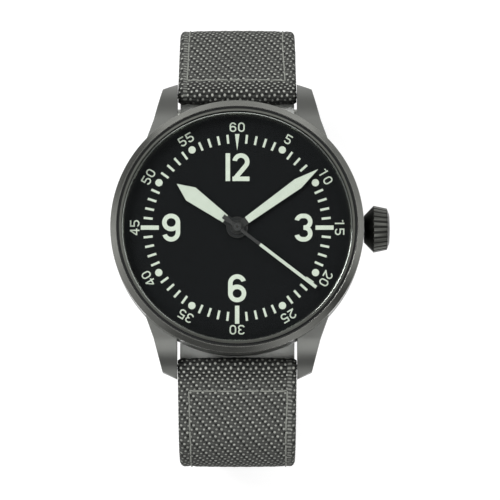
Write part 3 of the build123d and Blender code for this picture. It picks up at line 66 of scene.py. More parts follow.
Nodes = dict[str, bpy.types.Object]  # the frame's CAD nodes by name
Span = tuple[float, float]  # two values that belong together, such as the ends of a range or a place

log = logging.getLogger("pilot_watch")


# Helpers for materials


def linear(code: str) -> tuple[float, float, float, float]:
    """Turns a colour written as sRGB hex into linear light.

    Args:
        code: The colour, such as "#3a3a39".

    Returns:
        Red, green, blue and an alpha of 1.
    """
    channels = [int(code[place:place + 2], 16) / 255 for place in (1, 3, 5)]
    lit = [value / 12.92 if value <= 0.04045 else ((value + 0.055) / 1.055) ** 2.4 for value in channels]
    return (*lit, 1.0)


@dataclass(frozen=True, eq=False)
class Signal:
    """A node's output that is reckoned with like a number: each operator adds one Math node."""

    socket: bpy.types.NodeSocket

    @property
    def tree(self) -> bpy.types.NodeTree:
        """The node tree that the signal runs in."""
        return self.socket.id_data

    def math(self, operation: str, *others: "Signal | float") -> "Signal":
        """Adds a Math node with this signal first and the others after it."""
        return signal(self.tree, "Math", {"operation": operation, **dict(enumerate((self, *others)))})

    def ramp(self, source: Span, target: Span = (0.0, 1.0), smooth: bool = False) -> "Signal":
        """Maps one span of the signal onto another and holds it there outside.

        Args:
            source: The two values to map from, in either order.
            target: What they become.
            smooth: Whether it eases in and out.

        Returns:
            The mapped signal.
        """
        kind = "SMOOTHSTEP" if smooth else "LINEAR"
        return signal(self.tree, "MapRange", {"interpolation_type": kind, "Value": self, "From Min": source[0],
                                              "From Max": source[1], "To Min": target[0], "To Max": target[1]})

    def split(self) -> tuple["Signal", "Signal", "Signal"]:
        """The three parts of a vector."""
        return tuple(Signal(part) for part in add(self.tree, "SeparateXYZ", {0: self}).outputs)

    def __add__(self, other: "Signal | float") -> "Signal":
        """The sum of two signals, or of a signal and a number."""
        return self.math("ADD", other)

    def __sub__(self, other: "Signal | float") -> "Signal":
        """This signal less another, or less a number."""
        return self.math("SUBTRACT", other)

    def __rsub__(self, other: float) -> "Signal":
        """A number less this signal."""
        return signal(self.tree, "Math", {"operation": "SUBTRACT", 0: other, 1: self})

    def __mul__(self, other: "Signal | float") -> "Signal":
        """The product of two signals, or of a signal and a number."""
        return self.math("MULTIPLY", other)

    def __truediv__(self, other: "Signal | float") -> "Signal":
        """This signal divided by another, or by a number."""
        return self.math("DIVIDE", other)

    def __abs__(self) -> "Signal":
        """The signal without its sign."""
        return self.math("ABSOLUTE")


def feed(socket: bpy.types.NodeSocket, value: object) -> None:
    """Gives an input its source.

    Args:
        socket: The input.
        value: A signal to link, a colour in hex, or a plain value.
    """
    if isinstance(value, Signal):
        value.tree.links.new(value.socket, socket)
    else:
        socket.default_value = linear(value) if isinstance(value, str) else value


def add(tree: bpy.types.NodeTree, kind: str, settings: dict | None = None) -> bpy.types.Node:
    """Adds one node.

    Args:
        tree: The node tree to add to.
        kind: The node's type without its "ShaderNode" prefix.
        settings: Plain properties by name, and what feeds an input by the input's name or number.

    Returns:
        The new node.
    """
    node = tree.nodes.new("ShaderNode" + kind)
    settings = settings or {}
    inputs = [key for key in settings if isinstance(key, int) or key in node.inputs]
    for key in [key for key in settings if key not in inputs]:
        setattr(node, key, settings[key])
    for key in inputs:
        feed(node.inputs[key], settings[key])
    return node


def signal(tree: bpy.types.NodeTree, kind: str, settings: dict | None = None, output: int | str = 0) -> Signal:
    """Adds one node as add() does and takes one of its outputs."""
    return Signal(add(tree, kind, settings).outputs[output])


def place_of(shader: bpy.types.Node) -> Signal:
    """The point's place on the object, in metres."""
    return signal(shader.id_data, "TexCoord", output="Object")


def flat_place_of(shader: bpy.types.Node) -> Signal:
    """The point's place in the flat cloth, in millimetres."""
    return signal(shader.id_data, "UVMap", {"uv_map": "cloth"})


def vector_math(operation: str, first: Signal, second: tuple[float, float, float] = (0.0, 0.0, 0.0),
                output: int | str = 0) -> Signal:
    """Adds one Vector Math node for a signal and a plain vector."""
    return signal(first.tree, "VectorMath", {"operation": operation, 0: first, 1: second}, output)


def off_axis(where: Signal) -> tuple[Signal, Signal]:
    """The way from the watch's axis to a point, and its length, both in metres."""
    across = vector_math("MULTIPLY", where, (1.0, 1.0, 0.0))
    return across, vector_math("LENGTH", across, output="Value")


def grain(where: Signal, size_mm: float, detail: float = 2.0,
          stretch: tuple[float, float, float] = (1.0, 1.0, 1.0)) -> Signal:
    """Noise whose spots have a real size.

    Args:
        where: Where to read the noise, in metres.
        size_mm: The size of one spot in millimetres.
        detail: How many finer layers it has.
        stretch: How many times finer it is along each axis.

    Returns:
        The noise, from 0 to 1.
    """
    return signal(where.tree, "TexNoise", {"Scale": 1 / (size_mm * MM), "Detail": detail, "Roughness": 0.6,
                                           "Vector": vector_math("MULTIPLY", where, stretch)})


def blend(share: Signal, first: Signal | str, second: Signal | str) -> Signal:
    """Mixes two colours, each a signal or hex: the share says how much of the second shows."""
    return signal(share.tree, "Mix", {"data_type": "RGBA", "clamp_factor": True, 0: share, 6: first, 7: second}, 2)


def darken(share: Signal, colour: Signal | str, level: float) -> Signal:
    """Darkens a colour where the share is high, down to this level of its brightness."""
    return blend(share, colour, signal(share.tree, "HueSaturation", {"Color": colour, "Value": level}))


# Finishes


@dataclass(frozen=True)
class Finish:
    """What every finish has: a maker's name, its colour as it lies in the light, its gloss and its relief."""

    name: str
    colour: str
    roughness: float
    metallic: float = 0.0
    gloss: float = 0.5
    depth_mm: float = 0.0
    smoother: float = 0.06
    rougher: float = 0.06
    wear_mm: float = 2.0

    def material(self) -> bpy.types.Material:
        """The finish as a node material, made once and found again by its name.

        Returns:
            The material.
        """
        made = bpy.data.materials.get(self.name)
        if made is None:
            made = bpy.data.materials.new(self.name)
            made.use_nodes = True
            made.node_tree.nodes.clear()
            output = add(made.node_tree, "OutputMaterial")
            feed(output.inputs["Surface"], self.surface(made.node_tree))
        return made

    def surface(self, tree: bpy.types.NodeTree) -> Signal:
        """The shader, with what the finish shows close up.

        Args:
            tree: The node tree to add to.

        Returns:
            The shader's output.
        """
        shader = add(tree, "BsdfPrincipled", {"Base Color": self.colour, "Roughness": self.roughness,
                                              "Metallic": self.metallic, "Specular IOR Level": self.gloss})
        self.detail(shader)
        return Signal(shader.outputs[0])

    def detail(self, shader: bpy.types.Node) -> None:
        """Adds what this finish shows close up; the plain one has the faint wear of handling."""
        self.vary(shader, grain(place_of(shader), self.wear_mm))

    def vary(self, shader: bpy.types.Node, pattern: Signal) -> None:
        """Makes the surface smoother where a pattern is 0 and rougher where it is 1."""
        feed(shader.inputs["Roughness"],
             pattern.ramp((0.0, 1.0), (self.roughness - self.smoother, self.roughness + self.rougher)))

    def emboss(self, shader: bpy.types.Node, height: Signal) -> None:
        """Lets a height pattern of the finish's real depth catch the light."""
        feed(shader.inputs["Normal"],
             signal(height.tree, "Bump", {"Strength": 1.0, "Distance": self.depth_mm * MM, "Height": height}))


@dataclass(frozen=True)
class BlastedSteel(Finish):
    """Steel blasted with glass beads and coated: an even satin that hides no edge and shows a fine grit."""

    metallic: float = 1.0
    depth_mm: float = 0.006
    grit_mm: float = 0.14  # the beads leave 0.05 mm dents, drawn coarser so that they show
    cloud_mm: float = 5.0
    cloud_share: float = 0.22
    grit_share: float = 0.16
    dark_level: float = 0.72

    def detail(self, shader: bpy.types.Node) -> None:
        """Adds the dents of the beads and a faint unevenness of the coating.

        Args:
            shader: The shader to feed.
        """
        where = place_of(shader)
        dents = grain(where, self.grit_mm, 3.0)
        share = grain(where, self.cloud_mm, 1.0) * self.cloud_share + dents * self.grit_share
        feed(shader.inputs["Base Color"], darken(share, self.colour, self.dark_level))
        self.emboss(shader, dents)


@dataclass(frozen=True)
class FlutedSteel(BlastedSteel):
    """The crown's blasted steel with painted shade: bright only on the ribs, darker in the flutes, on the cone and at
    the end.
    """

    flutes: int = 25
    axis_height_mm: float = 5.0
    cone_end_mm: float = 22.68
    ribs_end_mm: float = 24.75
    # painted shade: the span of the flutes that is darkened, the share of it at the end, and how dark the shaded
    # parts get
    groove_shade: Span = (0.27, 0.12)
    end_shade_share: float = 0.7
    painted_shade_level: float = 0.25

    def detail(self, shader: bpy.types.Node) -> None:
        """Adds the blasted grit and then paints shade into the flutes and onto the cone, and dims the end with
        painted shade.

        Args:
            shader: The shader to feed.
        """
        super().detail(shader)
        base = Signal(shader.inputs["Base Color"].links[0].from_socket)
        along, side, height = place_of(shader).split()
        turn = side.math("ARCTAN2", height - self.axis_height_mm * MM) * (self.flutes / math.tau)
        from_rib = abs((turn + (self.flutes + 0.5)).math("FRACT") - 0.5)
        # painted shade: the cone, the end and the flutes between the ribs are darkened in the colour
        cone = along.math("LESS_THAN", self.cone_end_mm * MM)
        end = along.math("GREATER_THAN", self.ribs_end_mm * MM) * self.end_shade_share
        dark = cone.math("MAXIMUM", end).math("MAXIMUM", from_rib.ramp(self.groove_shade))
        feed(shader.inputs["Base Color"], darken(dark, base, self.painted_shade_level))


@dataclass(frozen=True)
class TurnedSteel(Finish):
    """Metal brushed round the watch's axis: fine rings that draw the light out sideways."""

    metallic: float = 1.0
    depth_mm: float = 0.003
    ring_mm: float = 0.05
    turn_mm: float = 0.6  # a full turn reads the noise round so small a circle, so that the lines last
    lines: Span = (0.3, 0.7)
    line_share: float = 0.3
    dark_level: float = 0.6

    def detail(self, shader: bpy.types.Node) -> None:
        """Adds the rings, read from the distance to the axis.

        Args:
            shader: The shader to feed.
        """
        where = place_of(shader)
        across, radius = off_axis(where)
        east, north, _ = vector_math("NORMALIZE", across).split()
        rings = signal(where.tree, "CombineXYZ", {0: east * (self.turn_mm * MM), 1: north * (self.turn_mm * MM),
                                                  2: radius + where.split()[2]})
        lines = grain(rings, self.ring_mm)
        share = lines.ramp(self.lines, (0.0, self.line_share))
        feed(shader.inputs["Base Color"], darken(share, self.colour, self.dark_level))
        self.emboss(shader, lines)


@dataclass(frozen=True)
class PolishedSteel(Finish):
    """Polished steel under a thin grey coat: it mirrors what is near, but never brightly."""

    smoother: float = 0.0
    rougher: float = 0.05
    wear_mm: float = 0.5  # the faint streaks of the polishing wheel


@dataclass(frozen=True)
class GrainedMetal(Finish):
    """Metal with straight fine grain, as small wheels and levers leave the grinding stone."""

    metallic: float = 1.0
    depth_mm: float = 0.002
    smoother: float = 0.07
    rougher: float = 0.1
    line_mm: float = 0.04
    stretch: tuple[float, float, float] = (0.04, 1.0, 1.0)

    def detail(self, shader: bpy.types.Node) -> None:
        """Adds straight lines along X.

        Args:
            shader: The shader to feed.
        """
        lines = grain(place_of(shader), self.line_mm, 2.0, self.stretch)
        self.vary(shader, lines)
        self.emboss(shader, lines)


@dataclass(frozen=True)
class StripedNickel(Finish):
    """Nickel-plated plates with broad parallel stripes, each one scraped a little hollow."""

    metallic: float = 1.0
    depth_mm: float = 0.03
    smoother: float = 0.1
    rougher: float = 0.12
    stripe_mm: float = 1.5
    slant_degrees: float = 20.0
    lowest: float = 0.35
    steepness: float = 1.6
    line_mm: float = 0.05
    stretch: tuple[float, float, float] = (0.05, 1.0, 1.0)
    line_height: float = 0.06

    def detail(self, shader: bpy.types.Node) -> None:
        """Adds the stripes and the scraper's fine arcs across them.

        Args:
            shader: The shader to feed.
        """
        slanted = signal(shader.id_data, "VectorRotate", {
            "rotation_type": "Z_AXIS", "Angle": math.radians(self.slant_degrees), "Vector": place_of(shader)})
        share = (slanted.split()[0] / (self.stripe_mm * MM)).math("FRACT")
        hollow = abs(share - self.lowest).math("POWER", self.steepness)
        self.vary(shader, share)
        self.emboss(shader, grain(slanted, self.line_mm, 1.0, self.stretch) * self.line_height + hollow)


@dataclass(frozen=True)
class SpottedNickel(Finish):
    """A nickel-plated main plate with overlapping round spots from a turning peg."""

    metallic: float = 1.0
    depth_mm: float = 0.01
    spot_mm: float = 0.8
    disorder: float = 0.15
    ring_pitch: float = 40.0
    ring_height: float = 0.1

    def detail(self, shader: bpy.types.Node) -> None:
        """Adds rows of spots with their fine rings.

        Args:
            shader: The shader to feed.
        """
        spots = signal(shader.id_data, "TexVoronoi", {"Scale": 1 / (self.spot_mm * MM), "Randomness": self.disorder,
                                                      "Vector": place_of(shader)}, "Distance")
        self.emboss(shader, (spots * self.ring_pitch).math("SINE") * self.ring_height + spots)


@dataclass(frozen=True)
class DialLacquer(Finish):
    """Matte black dial lacquer, with the fine tooth that keeps it from shining."""

    depth_mm: float = 0.004
    pale: str = "#191b1c"
    tooth_mm: float = 0.16  # really 0.03 mm, drawn coarser so that it shows
    contrast: Span = (0.35, 0.7)

    def detail(self, shader: bpy.types.Node) -> None:
        """Adds the tooth of the lacquer, in its colour and its surface.

        Args:
            shader: The shader to feed.
        """
        tooth = grain(place_of(shader), self.tooth_mm)
        feed(shader.inputs["Base Color"], blend(tooth.ramp(self.contrast), self.colour, self.pale))
        self.emboss(shader, tooth)


@dataclass(frozen=True)
class LuminousPaint(Finish):
    """Pigment-filled paint: chalky, pale green by day, with a slightly grainy face."""

    gloss: float = 0.1
    depth_mm: float = 0.008
    deep: str = "#aeb6a6"
    fine_mm: float = 0.12
    broad_mm: float = 1.1
    deep_share: float = 0.9

    def detail(self, shader: bpy.types.Node) -> None:
        """Adds the pigment's grain and a faint unevenness of its thickness.

        Args:
            shader: The shader to feed.
        """
        where = place_of(shader)
        fine = grain(where, self.fine_mm)
        share = fine * grain(where, self.broad_mm, 1.0) * self.deep_share
        feed(shader.inputs["Base Color"], blend(share, self.colour, self.deep))
        self.emboss(shader, fine)


@dataclass(frozen=True)
class Sapphire(Finish):
    """Clear sapphire with an anti-glare coating: what lies under it shows, with a faint gloss on top.

    Its bevelled rim is ground, so that beyond a radius it turns grey and a little milky.
    """

    clear_radius_mm: float = 19.12
    clear: str = "#fdfefe"
    square_on: float = 0.01
    steepness: float = 5.0
    ground: str = "#63655f"
    ground_metallic: float = 0.6
    ground_roughness: Span = (0.25, 0.4)
    scratch_mm: float = 0.3

    def surface(self, tree: bpy.types.NodeTree) -> Signal:
        """A transparent pane with a gloss that grows as it is seen from lower down, and the ground rim.

        Args:
            tree: The node tree to add to.

        Returns:
            The shader's output.
        """
        clear = signal(tree, "BsdfTransparent", {"Color": self.clear})
        gloss = signal(tree, "BsdfGlossy", {"Color": self.colour, "Roughness": self.roughness})
        tilt = signal(tree, "LayerWeight", {"Blend": 0.5}, "Facing").math("POWER", self.steepness)
        pane = signal(tree, "MixShader", {0: tilt * (1.0 - self.square_on) + self.square_on, 1: clear, 2: gloss})
        milky = add(tree, "BsdfPrincipled", {"Base Color": self.ground, "Metallic": self.ground_metallic})
        where = place_of(milky)
        scratch = grain(where, self.scratch_mm)
        feed(milky.inputs["Roughness"], scratch.ramp((0.0, 1.0), self.ground_roughness))
        rim = off_axis(where)[1].math("GREATER_THAN", self.clear_radius_mm * MM)
        return signal(tree, "MixShader", {0: rim, 1: pane, 2: Signal(milky.outputs[0])})


@dataclass(frozen=True)
class Oval:
    """A soft oval in each cell of a weave.

    It lies off the pale dot by shares of a cell and of a row, and has a half width and a half length.
    """

    off_cell: float
    off_row: float
    half_width_mm: float
    half_length_mm: float


@dataclass(frozen=True)
class WovenYarn(Finish):
    """Heavy twill of two yarns: dark floats with the pale yarn showing as a dot where it crosses over.

    The dots step one yarn sideways from row to row. The map that it reads is in millimetres of flat cloth.
    """

    gloss: float = 0.2
    depth_mm: float = 0.1
    pale: str = "#b2b4ad"
    float_tone: str = "#50514e"
    # the colour of the holes between the yarns, also used for the painted shade on the roll and where the cloth turns
    # in
    hollow: str = "#191a19"
    yarn_mm: float = 0.5216
    row_mm: float = 0.645
    yarns_per_dot: int = 4
    dot: Oval = Oval(0.0, 0.03, 0.24, 0.22)
    speck: Oval = Oval(0.585, -0.2, 0.2, 0.2)
    float_yarn: Oval = Oval(0.29, 0.0, 0.34, 0.22)
    hole: Oval = Oval(0.81, 0.1, 0.18, 0.2)
    gap: Oval = Oval(0.29, 0.28, 0.4, 0.16)
    oval_edge: Span = (1.4, 0.2)
    chance_share: float = 0.4
    speck_share: float = 0.85
    fold_mm: Span = (2.6, 0.9)
    fold_gain: float = 0.35
    # painted shade: how far the cloth round the bar is blended towards the hollow colour
    fold_painted_shade: float = 0.5
    margin_mm: float = 8.72
    ribbed_edge: int = -1
    rib_half_mm: float = 0.34
    rib_half_row: float = 0.4
    rib_gain: float = 1.3
    rib_specks: float = 0.2
    rib_cover: float = 0.7
    fluff_per_mm: float = 7.0
    fluff_share: float = 0.3
    # painted shade: where the cloth turns in towards the case, and how far it is blended towards the hollow colour
    painted_turn_shade_mm: Span = (0.9, 2.1)
    painted_turn_shade_share: float = 0.85
    float_height: float = 0.3
    sunk: float = -0.25
    raised: tuple[Span, ...] = ((0.0, 1.0), (0.58, 0.5))
    raised_reach_mm: Span = (0.32, 0.3)

    def detail(self, shader: bpy.types.Node) -> None:
        """Adds the dots with the floats and hollows beside them, the ribs of the folded edge and the fluff.

        Where the cloth goes round the bar it is stretched, so that dark gaps open between the yarns; that stretch of
        cloth is also darkened as painted shade, and where it turns in towards the case it gets a deeper painted
        shade.

        Args:
            shader: The shader to feed.
        """
        flat = flat_place_of(shader)
        across, along, _ = flat.split()
        rows = along / self.row_mm
        row, in_row = rows.math("FLOOR"), rows.math("FRACT") - 0.5
        cells = (row * self.yarn_mm + across) / (self.yarn_mm * self.yarns_per_dot)
        key = signal(flat.tree, "CombineXYZ", {0: row, 1: cells.math("FLOOR")})
        chance = signal(flat.tree, "TexWhiteNoise", {"noise_dimensions": "2D", "Vector": key})
        fluff = signal(flat.tree, "TexNoise", {"Scale": self.fluff_per_mm, "Detail": 3.0, "Vector": flat})
        dots, specks, floats, holes, gaps = (
            self.spot(cells, in_row, oval) for oval in (self.dot, self.speck, self.float_yarn, self.hole, self.gap))
        fold = abs(along).ramp(self.fold_mm, smooth=True)
        holes = holes.math("MAXIMUM", gaps * fold)
        strength = chance * self.chance_share + (1.0 - self.chance_share)
        plain = (dots * strength).math("MAXIMUM", specks * (strength * self.speck_share))
        plain = plain * (fold * self.fold_gain + 1.0)
        ribbed = specks * self.rib_specks + (self.rib_half_row - abs(in_row)) * self.rib_gain
        edge = abs(across * self.ribbed_edge - self.margin_mm).math("LESS_THAN", self.rib_half_mm)
        share = edge * (ribbed - plain) + plain + (fluff - 0.5) * self.fluff_share
        dark = holes * (1.0 - edge * self.rib_cover)
        # painted shade on the cloth that turns in towards the case
        painted_turn_shade = (along * self.ribbed_edge).ramp(self.painted_turn_shade_mm, (0.0, self.painted_turn_shade_share))
        colour = blend(floats, self.colour, self.float_tone)
        # the first and the last of these layers are painted shade
        for layer, tone in ((fold * self.fold_painted_shade, self.hollow), (share, self.pale), (dark, self.hollow),
                            (painted_turn_shade, self.hollow)):
            colour = blend(layer, colour, tone)
        feed(shader.inputs["Base Color"], colour)
        self.emboss(shader, floats * self.float_height + (share - dark))

    def spot(self, cells: Signal, in_row: Signal, oval: Oval) -> Signal:
        """One soft oval in each cell of the weave.

        Args:
            cells: The place across the cloth, counted in cells.
            in_row: Distance from the row's middle, as a share of a row.
            oval: Where the oval lies and how big it is.

        Returns:
            1 in the oval, fading to 0 outside it.
        """
        moved = (cells + (1.0 - oval.off_cell)).math("FRACT") - 0.5
        across = moved * (self.yarn_mm * self.yarns_per_dot / oval.half_width_mm)
        along = (in_row - oval.off_row) * (self.row_mm / oval.half_length_mm)
        return (across * across + along * along).ramp(self.oval_edge, smooth=True)

    def rise(self, across: float, along: float) -> float:
        """How far the yarns stand up at a place of the flat cloth: 1 on a pale dot, below 0 between the dots.

        Args:
            across: The place across the cloth in millimetres.
            along: The place along the cloth in millimetres.

        Returns:
            The height as a share of the yarns' relief.
        """
        row = math.floor(along / self.row_mm)
        beside = along - (row + 0.5) * self.row_mm
        repeat = self.yarn_mm * self.yarns_per_dot
        cells = (across + row * self.yarn_mm) / repeat
        rise = self.sunk
        for shift, share in self.raised:
            off = (cells - shift - math.floor(cells - shift) - 0.5) * repeat
            rise += share * hump(off, self.raised_reach_mm[0]) * hump(beside, self.raised_reach_mm[1])
        return rise


@dataclass(frozen=True)
class LiningLeather(Finish):
    """Grey lining leather: a fine pebble with soft creases, matte from wear against the wrist."""

    gloss: float = 0.2
    depth_mm: float = 0.05
    deep: str = "#2b2b29"
    pebbles_per_mm: float = 1.9
    disorder: float = 0.95
    creases_per_mm: float = 0.4
    crease_height: float = 0.8

    def detail(self, shader: bpy.types.Node) -> None:
        """Adds the pebble and the creases, read in millimetres of flat leather.

        Args:
            shader: The shader to feed.
        """
        flat = flat_place_of(shader)
        pebble = signal(flat.tree, "TexVoronoi", {"Scale": self.pebbles_per_mm, "Randomness": self.disorder,
                                                  "Vector": flat}, "Distance")
        crease = signal(flat.tree, "TexNoise", {"Scale": self.creases_per_mm, "Detail": 4.0, "Vector": flat})
        feed(shader.inputs["Base Color"], blend(crease, self.colour, self.deep))
        self.emboss(shader, crease * self.crease_height + pebble)


@dataclass(frozen=True)
class SewingThread(Finish):
    """Twisted polyester sewing thread, pale grey with a dull gleam on its twist."""

    gloss: float = 0.2
    depth_mm: float = 0.02
    deep: str = "#6e706c"
    twist_mm: float = 0.22
    least_share: float = 0.3
    swing: float = 0.25

    def detail(self, shader: bpy.types.Node) -> None:
        """Adds the twist as slanting ridges.

        Args:
            shader: The shader to feed.
        """
        x, y, z = place_of(shader).split()
        turns = ((x + (y + z)) * (math.tau / (self.twist_mm * MM))).math("SINE")
        feed(shader.inputs["Base Color"], blend(turns * self.swing + self.least_share, self.colour, self.deep))
        self.emboss(shader, turns)


@dataclass(frozen=True)
class Ruby(Finish):
    """Synthetic ruby, polished: deep pink with light inside it."""

    deep: str = "#6d0624"
    cloud_mm: float = 0.4
    coat: float = 0.8
    coat_roughness: float = 0.03

    def detail(self, shader: bpy.types.Node) -> None:
        """Adds the stone's faint clouds and its clear skin.

        Args:
            shader: The shader to feed.
        """
        feed(shader.inputs["Base Color"], blend(grain(place_of(shader), self.cloud_mm, 1.0), self.colour, self.deep))
        feed(shader.inputs["Coat Weight"], self.coat)
        feed(shader.inputs["Coat Roughness"], self.coat_roughness)


@dataclass(frozen=True)
class FloorPaper(Finish):
    """The studio's pale paper, lit from within for the eye and for mirrors, so that it stays even."""

    glow: float = 0.76

    def surface(self, tree: bpy.types.NodeTree) -> Signal:
        """Matte paint with a glow that lights nothing else.

        Args:
            tree: The node tree to add to.

        Returns:
            The shader's output.
        """
        rays = add(tree, "LightPath").outputs
        camera, glossy, through = (Signal(rays[f"Is {kind} Ray"]) for kind in ("Camera", "Glossy", "Transmission"))
        seen = (camera + (glossy + through)).math("MINIMUM", 1.0)
        light = signal(tree, "Emission", {"Color": "#ffffff", "Strength": seen * self.glow})
        return signal(tree, "AddShader", {0: signal(tree, "BsdfDiffuse", {"Color": self.colour}), 1: light})


class Finishes(Enum):
    """The finishes of this watch and its floor, by the piece that first wears them."""

    CASE = BlastedSteel("blasted_coated_steel", "#70716e", 0.4)
    BEZEL = TurnedSteel("brushed_coated_steel", "#979893", 0.19, depth_mm=0.001)
    BACK = TurnedSteel("turned_case_back_steel", "#8f908c", 0.33)
    CROWN = FlutedSteel("blasted_crown_steel", "#5b5c58", 0.36)
    REHAUT = PolishedSteel("polished_inner_ring_steel", "#8d8f8a", 0.06, 0.85)
    CRYSTAL = Sapphire("coated_sapphire", "#ffffff", 0.0)
    BACK_CRYSTAL = Sapphire("clear_back_sapphire", "#ffffff", 0.0, clear_radius_mm=13.4)
    GASKET = Finish("black_nitrile_rubber", "#1c1d1d", 0.6, gloss=0.2)
    DIAL = DialLacquer("matte_dial_lacquer", "#0e0f10", 0.75, gloss=0.06)
    PRINT = LuminousPaint("printed_luminous_paint", "#d6dece", 0.7)
    LUME = LuminousPaint("hand_luminous_paint", "#ced6c7", 0.65)
    HOUR_HAND = Finish("hour_hand_lacquer", "#272828", 0.4, gloss=0.15)
    MINUTE_HAND = Finish("minute_hand_lacquer", "#323231", 0.4, gloss=0.15)
    SECOND_HAND = Finish("second_hand_lacquer", "#3a3a39", 0.4, gloss=0.15)
    PLATE = SpottedNickel("spotted_nickel_plate", "#b3b0a9", 0.28)
    BRIDGE = StripedNickel("striped_nickel_plate", "#bdbab3", 0.3)
    GILT = GrainedMetal("gilt_brass", "#d3a75c", 0.27)
    STEEL = GrainedMetal("hardened_steel", "#b0b1b3", 0.22)
    BLUED = GrainedMetal("heat_blued_screw_steel", "#1d3f9e", 0.2)
    RUBY = Ruby("synthetic_ruby", "#a30c3a", 0.08)
    HOLDER = Finish("moulded_acetal", "#cfcdc6", 0.45)
    CLOTH_12 = WovenYarn("woven_strap_yarn", "#3d3e3c", 0.8)
    CLOTH_6 = WovenYarn("woven_strap_yarn_lower", "#3d3e3c", 0.8, ribbed_edge=1)
    LINING = LiningLeather("grey_lining_leather", "#8a8b88", 0.62)
    # painted light: the lining leather, made much paler at the tab to make up for the shade that the case casts there
    TAB = LiningLeather("lining_tab_painted_light", "#eff1ed", 0.62, deep="#d4d6d2")
    THREAD = SewingThread("pale_sewing_thread", "#9c9e97", 0.6)
    BUCKLE = BlastedSteel("blasted_buckle_steel", "#8e8f8b", 0.4)
    FLOOR = FloorPaper("pale_floor", "#a0a0a0", 1.0)


# Helpers for meshes


def select_only(piece: bpy.types.Object) -> None:
    """Selects and activates one object, and nothing else.

    Args:
        piece: The object to select.
    """
    bpy.ops.object.select_all(action="DESELECT")
    piece.select_set(True)
    bpy.context.view_layer.objects.active = piece


def open_mesh(piece: bpy.types.Object, action: str = "SELECT") -> None:
    """Opens a piece in edit mode with all of it selected, or none of it with "DESELECT".

    Args:
        piece: The piece to edit.
        action: What to do with the selection.
    """
    select_only(piece)
    bpy.ops.object.mode_set(mode="EDIT")
    bpy.ops.mesh.select_all(action=action)


def face_outwards(piece: bpy.types.Object) -> None:
    """Turns all faces of a closed piece outwards.

    Args:
        piece: The closed piece.
    """
    open_mesh(piece)
    bpy.ops.mesh.normals_make_consistent(inside=False)
    bpy.ops.object.mode_set(mode="OBJECT")


def smooth(piece: bpy.types.Object, degrees: float) -> None:
    """Shades a piece smooth but for the edges that bend more than this."""
    select_only(piece)
    bpy.ops.object.shade_smooth_by_angle(angle=math.radians(degrees))


def finish_modifier(piece: bpy.types.Object, kind: str, **settings: object) -> None:
    """Adds a modifier and applies it.

    Args:
        piece: The object to change.
        kind: The modifier's type.
        settings: The modifier's own settings.
    """
    select_only(piece)
    modifier = piece.modifiers.new(kind.lower(), kind)
    for key, value in settings.items():
        setattr(modifier, key, value)
    bpy.ops.object.modifier_apply(modifier=modifier.name)


def dress(piece: bpy.types.Object, finish: Finishes) -> None:
    """Gives a piece or a CAD node one finish all over."""
    piece.data.materials.clear()
    piece.data.materials.append(finish.value.material())


def dress_nodes(nodes: Nodes, wardrobe: dict[Finishes, tuple[str, ...]]) -> None:
    """Dresses the CAD nodes that need nothing but their finish.

    Args:
        nodes: The frame's CAD nodes by name.
        wardrobe: The names of the nodes that wear each finish.
    """
    for finish, names in wardrobe.items():
        for name in names:
            dress(nodes[name], finish)


def hand_over(piece: bpy.types.Object, body: str, slot: str, *nodes: str) -> None:
    """Hands a finished piece to the frame.

    Args:
        piece: The finished piece.
        body: The CAD body that it rides on.
        slot: The record's material slot; not used.
        nodes: The CAD nodes that it stands for.
    """
    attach(piece, body)
    if nodes:
        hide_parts(*nodes)
    log.info("piece %s rides on %s with %d faces", piece.name, body, len(piece.data.polygons))


def turned(name: str, profile: list[Span], steps: int = 128, least_mm: float = 0.001) -> bpy.types.Object:
    """Spins a closed outline round the watch's axis, as a lathe would.

    Args:
        name: The piece's name.
        profile: The outline's corners as (radius, height) in millimetres.
        steps: How many steps the full turn has.
        least_mm: Corners that lie closer together than this are joined.

    Returns:
        The closed ring or disc.
    """
    bpy.ops.object.select_all(action="DESELECT")
    bpy.ops.mesh.primitive_circle_add(vertices=len(profile), radius=MM)
    piece = bpy.context.active_object
    piece.name = name
    for vertex, (radius, height) in zip(piece.data.vertices, profile):
        vertex.co = (radius * MM, 0.0, height * MM)
    open_mesh(piece)
    bpy.ops.mesh.spin(steps=steps, angle=math.tau, center=(0.0, 0.0, 0.0), axis=(0.0, 0.0, 1.0))
    bpy.ops.mesh.select_all(action="SELECT")
    bpy.ops.mesh.remove_doubles(threshold=least_mm * MM)
    bpy.ops.mesh.dissolve_degenerate(threshold=least_mm * MM)
    bpy.ops.object.mode_set(mode="OBJECT")
    face_outwards(piece)
    smooth(piece, 30.0)
    return piece


def rounding(inside: float, radius: float) -> float:
    """How far a rounded edge falls below the flat face, at a distance inside the rim.

    Args:
        inside: The distance inside the rim.
        radius: The radius of the edge.

    Returns:
        The drop, in the same unit.
    """
    if inside >= radius:
        return 0.0
    return radius - math.sqrt(radius ** 2 - (radius - max(inside, 0.0)) ** 2)


def hump(distance: float, reach: float) -> float:
    """A smooth hump: 1 in its middle and about a third at its reach."""
    return math.exp(-((distance / reach) ** 2))


def share_of(part: float, whole: float) -> float:
    """A part as a share of the whole, held between 0 and 1."""
    return min(max(part / whole, 0.0), 1.0)


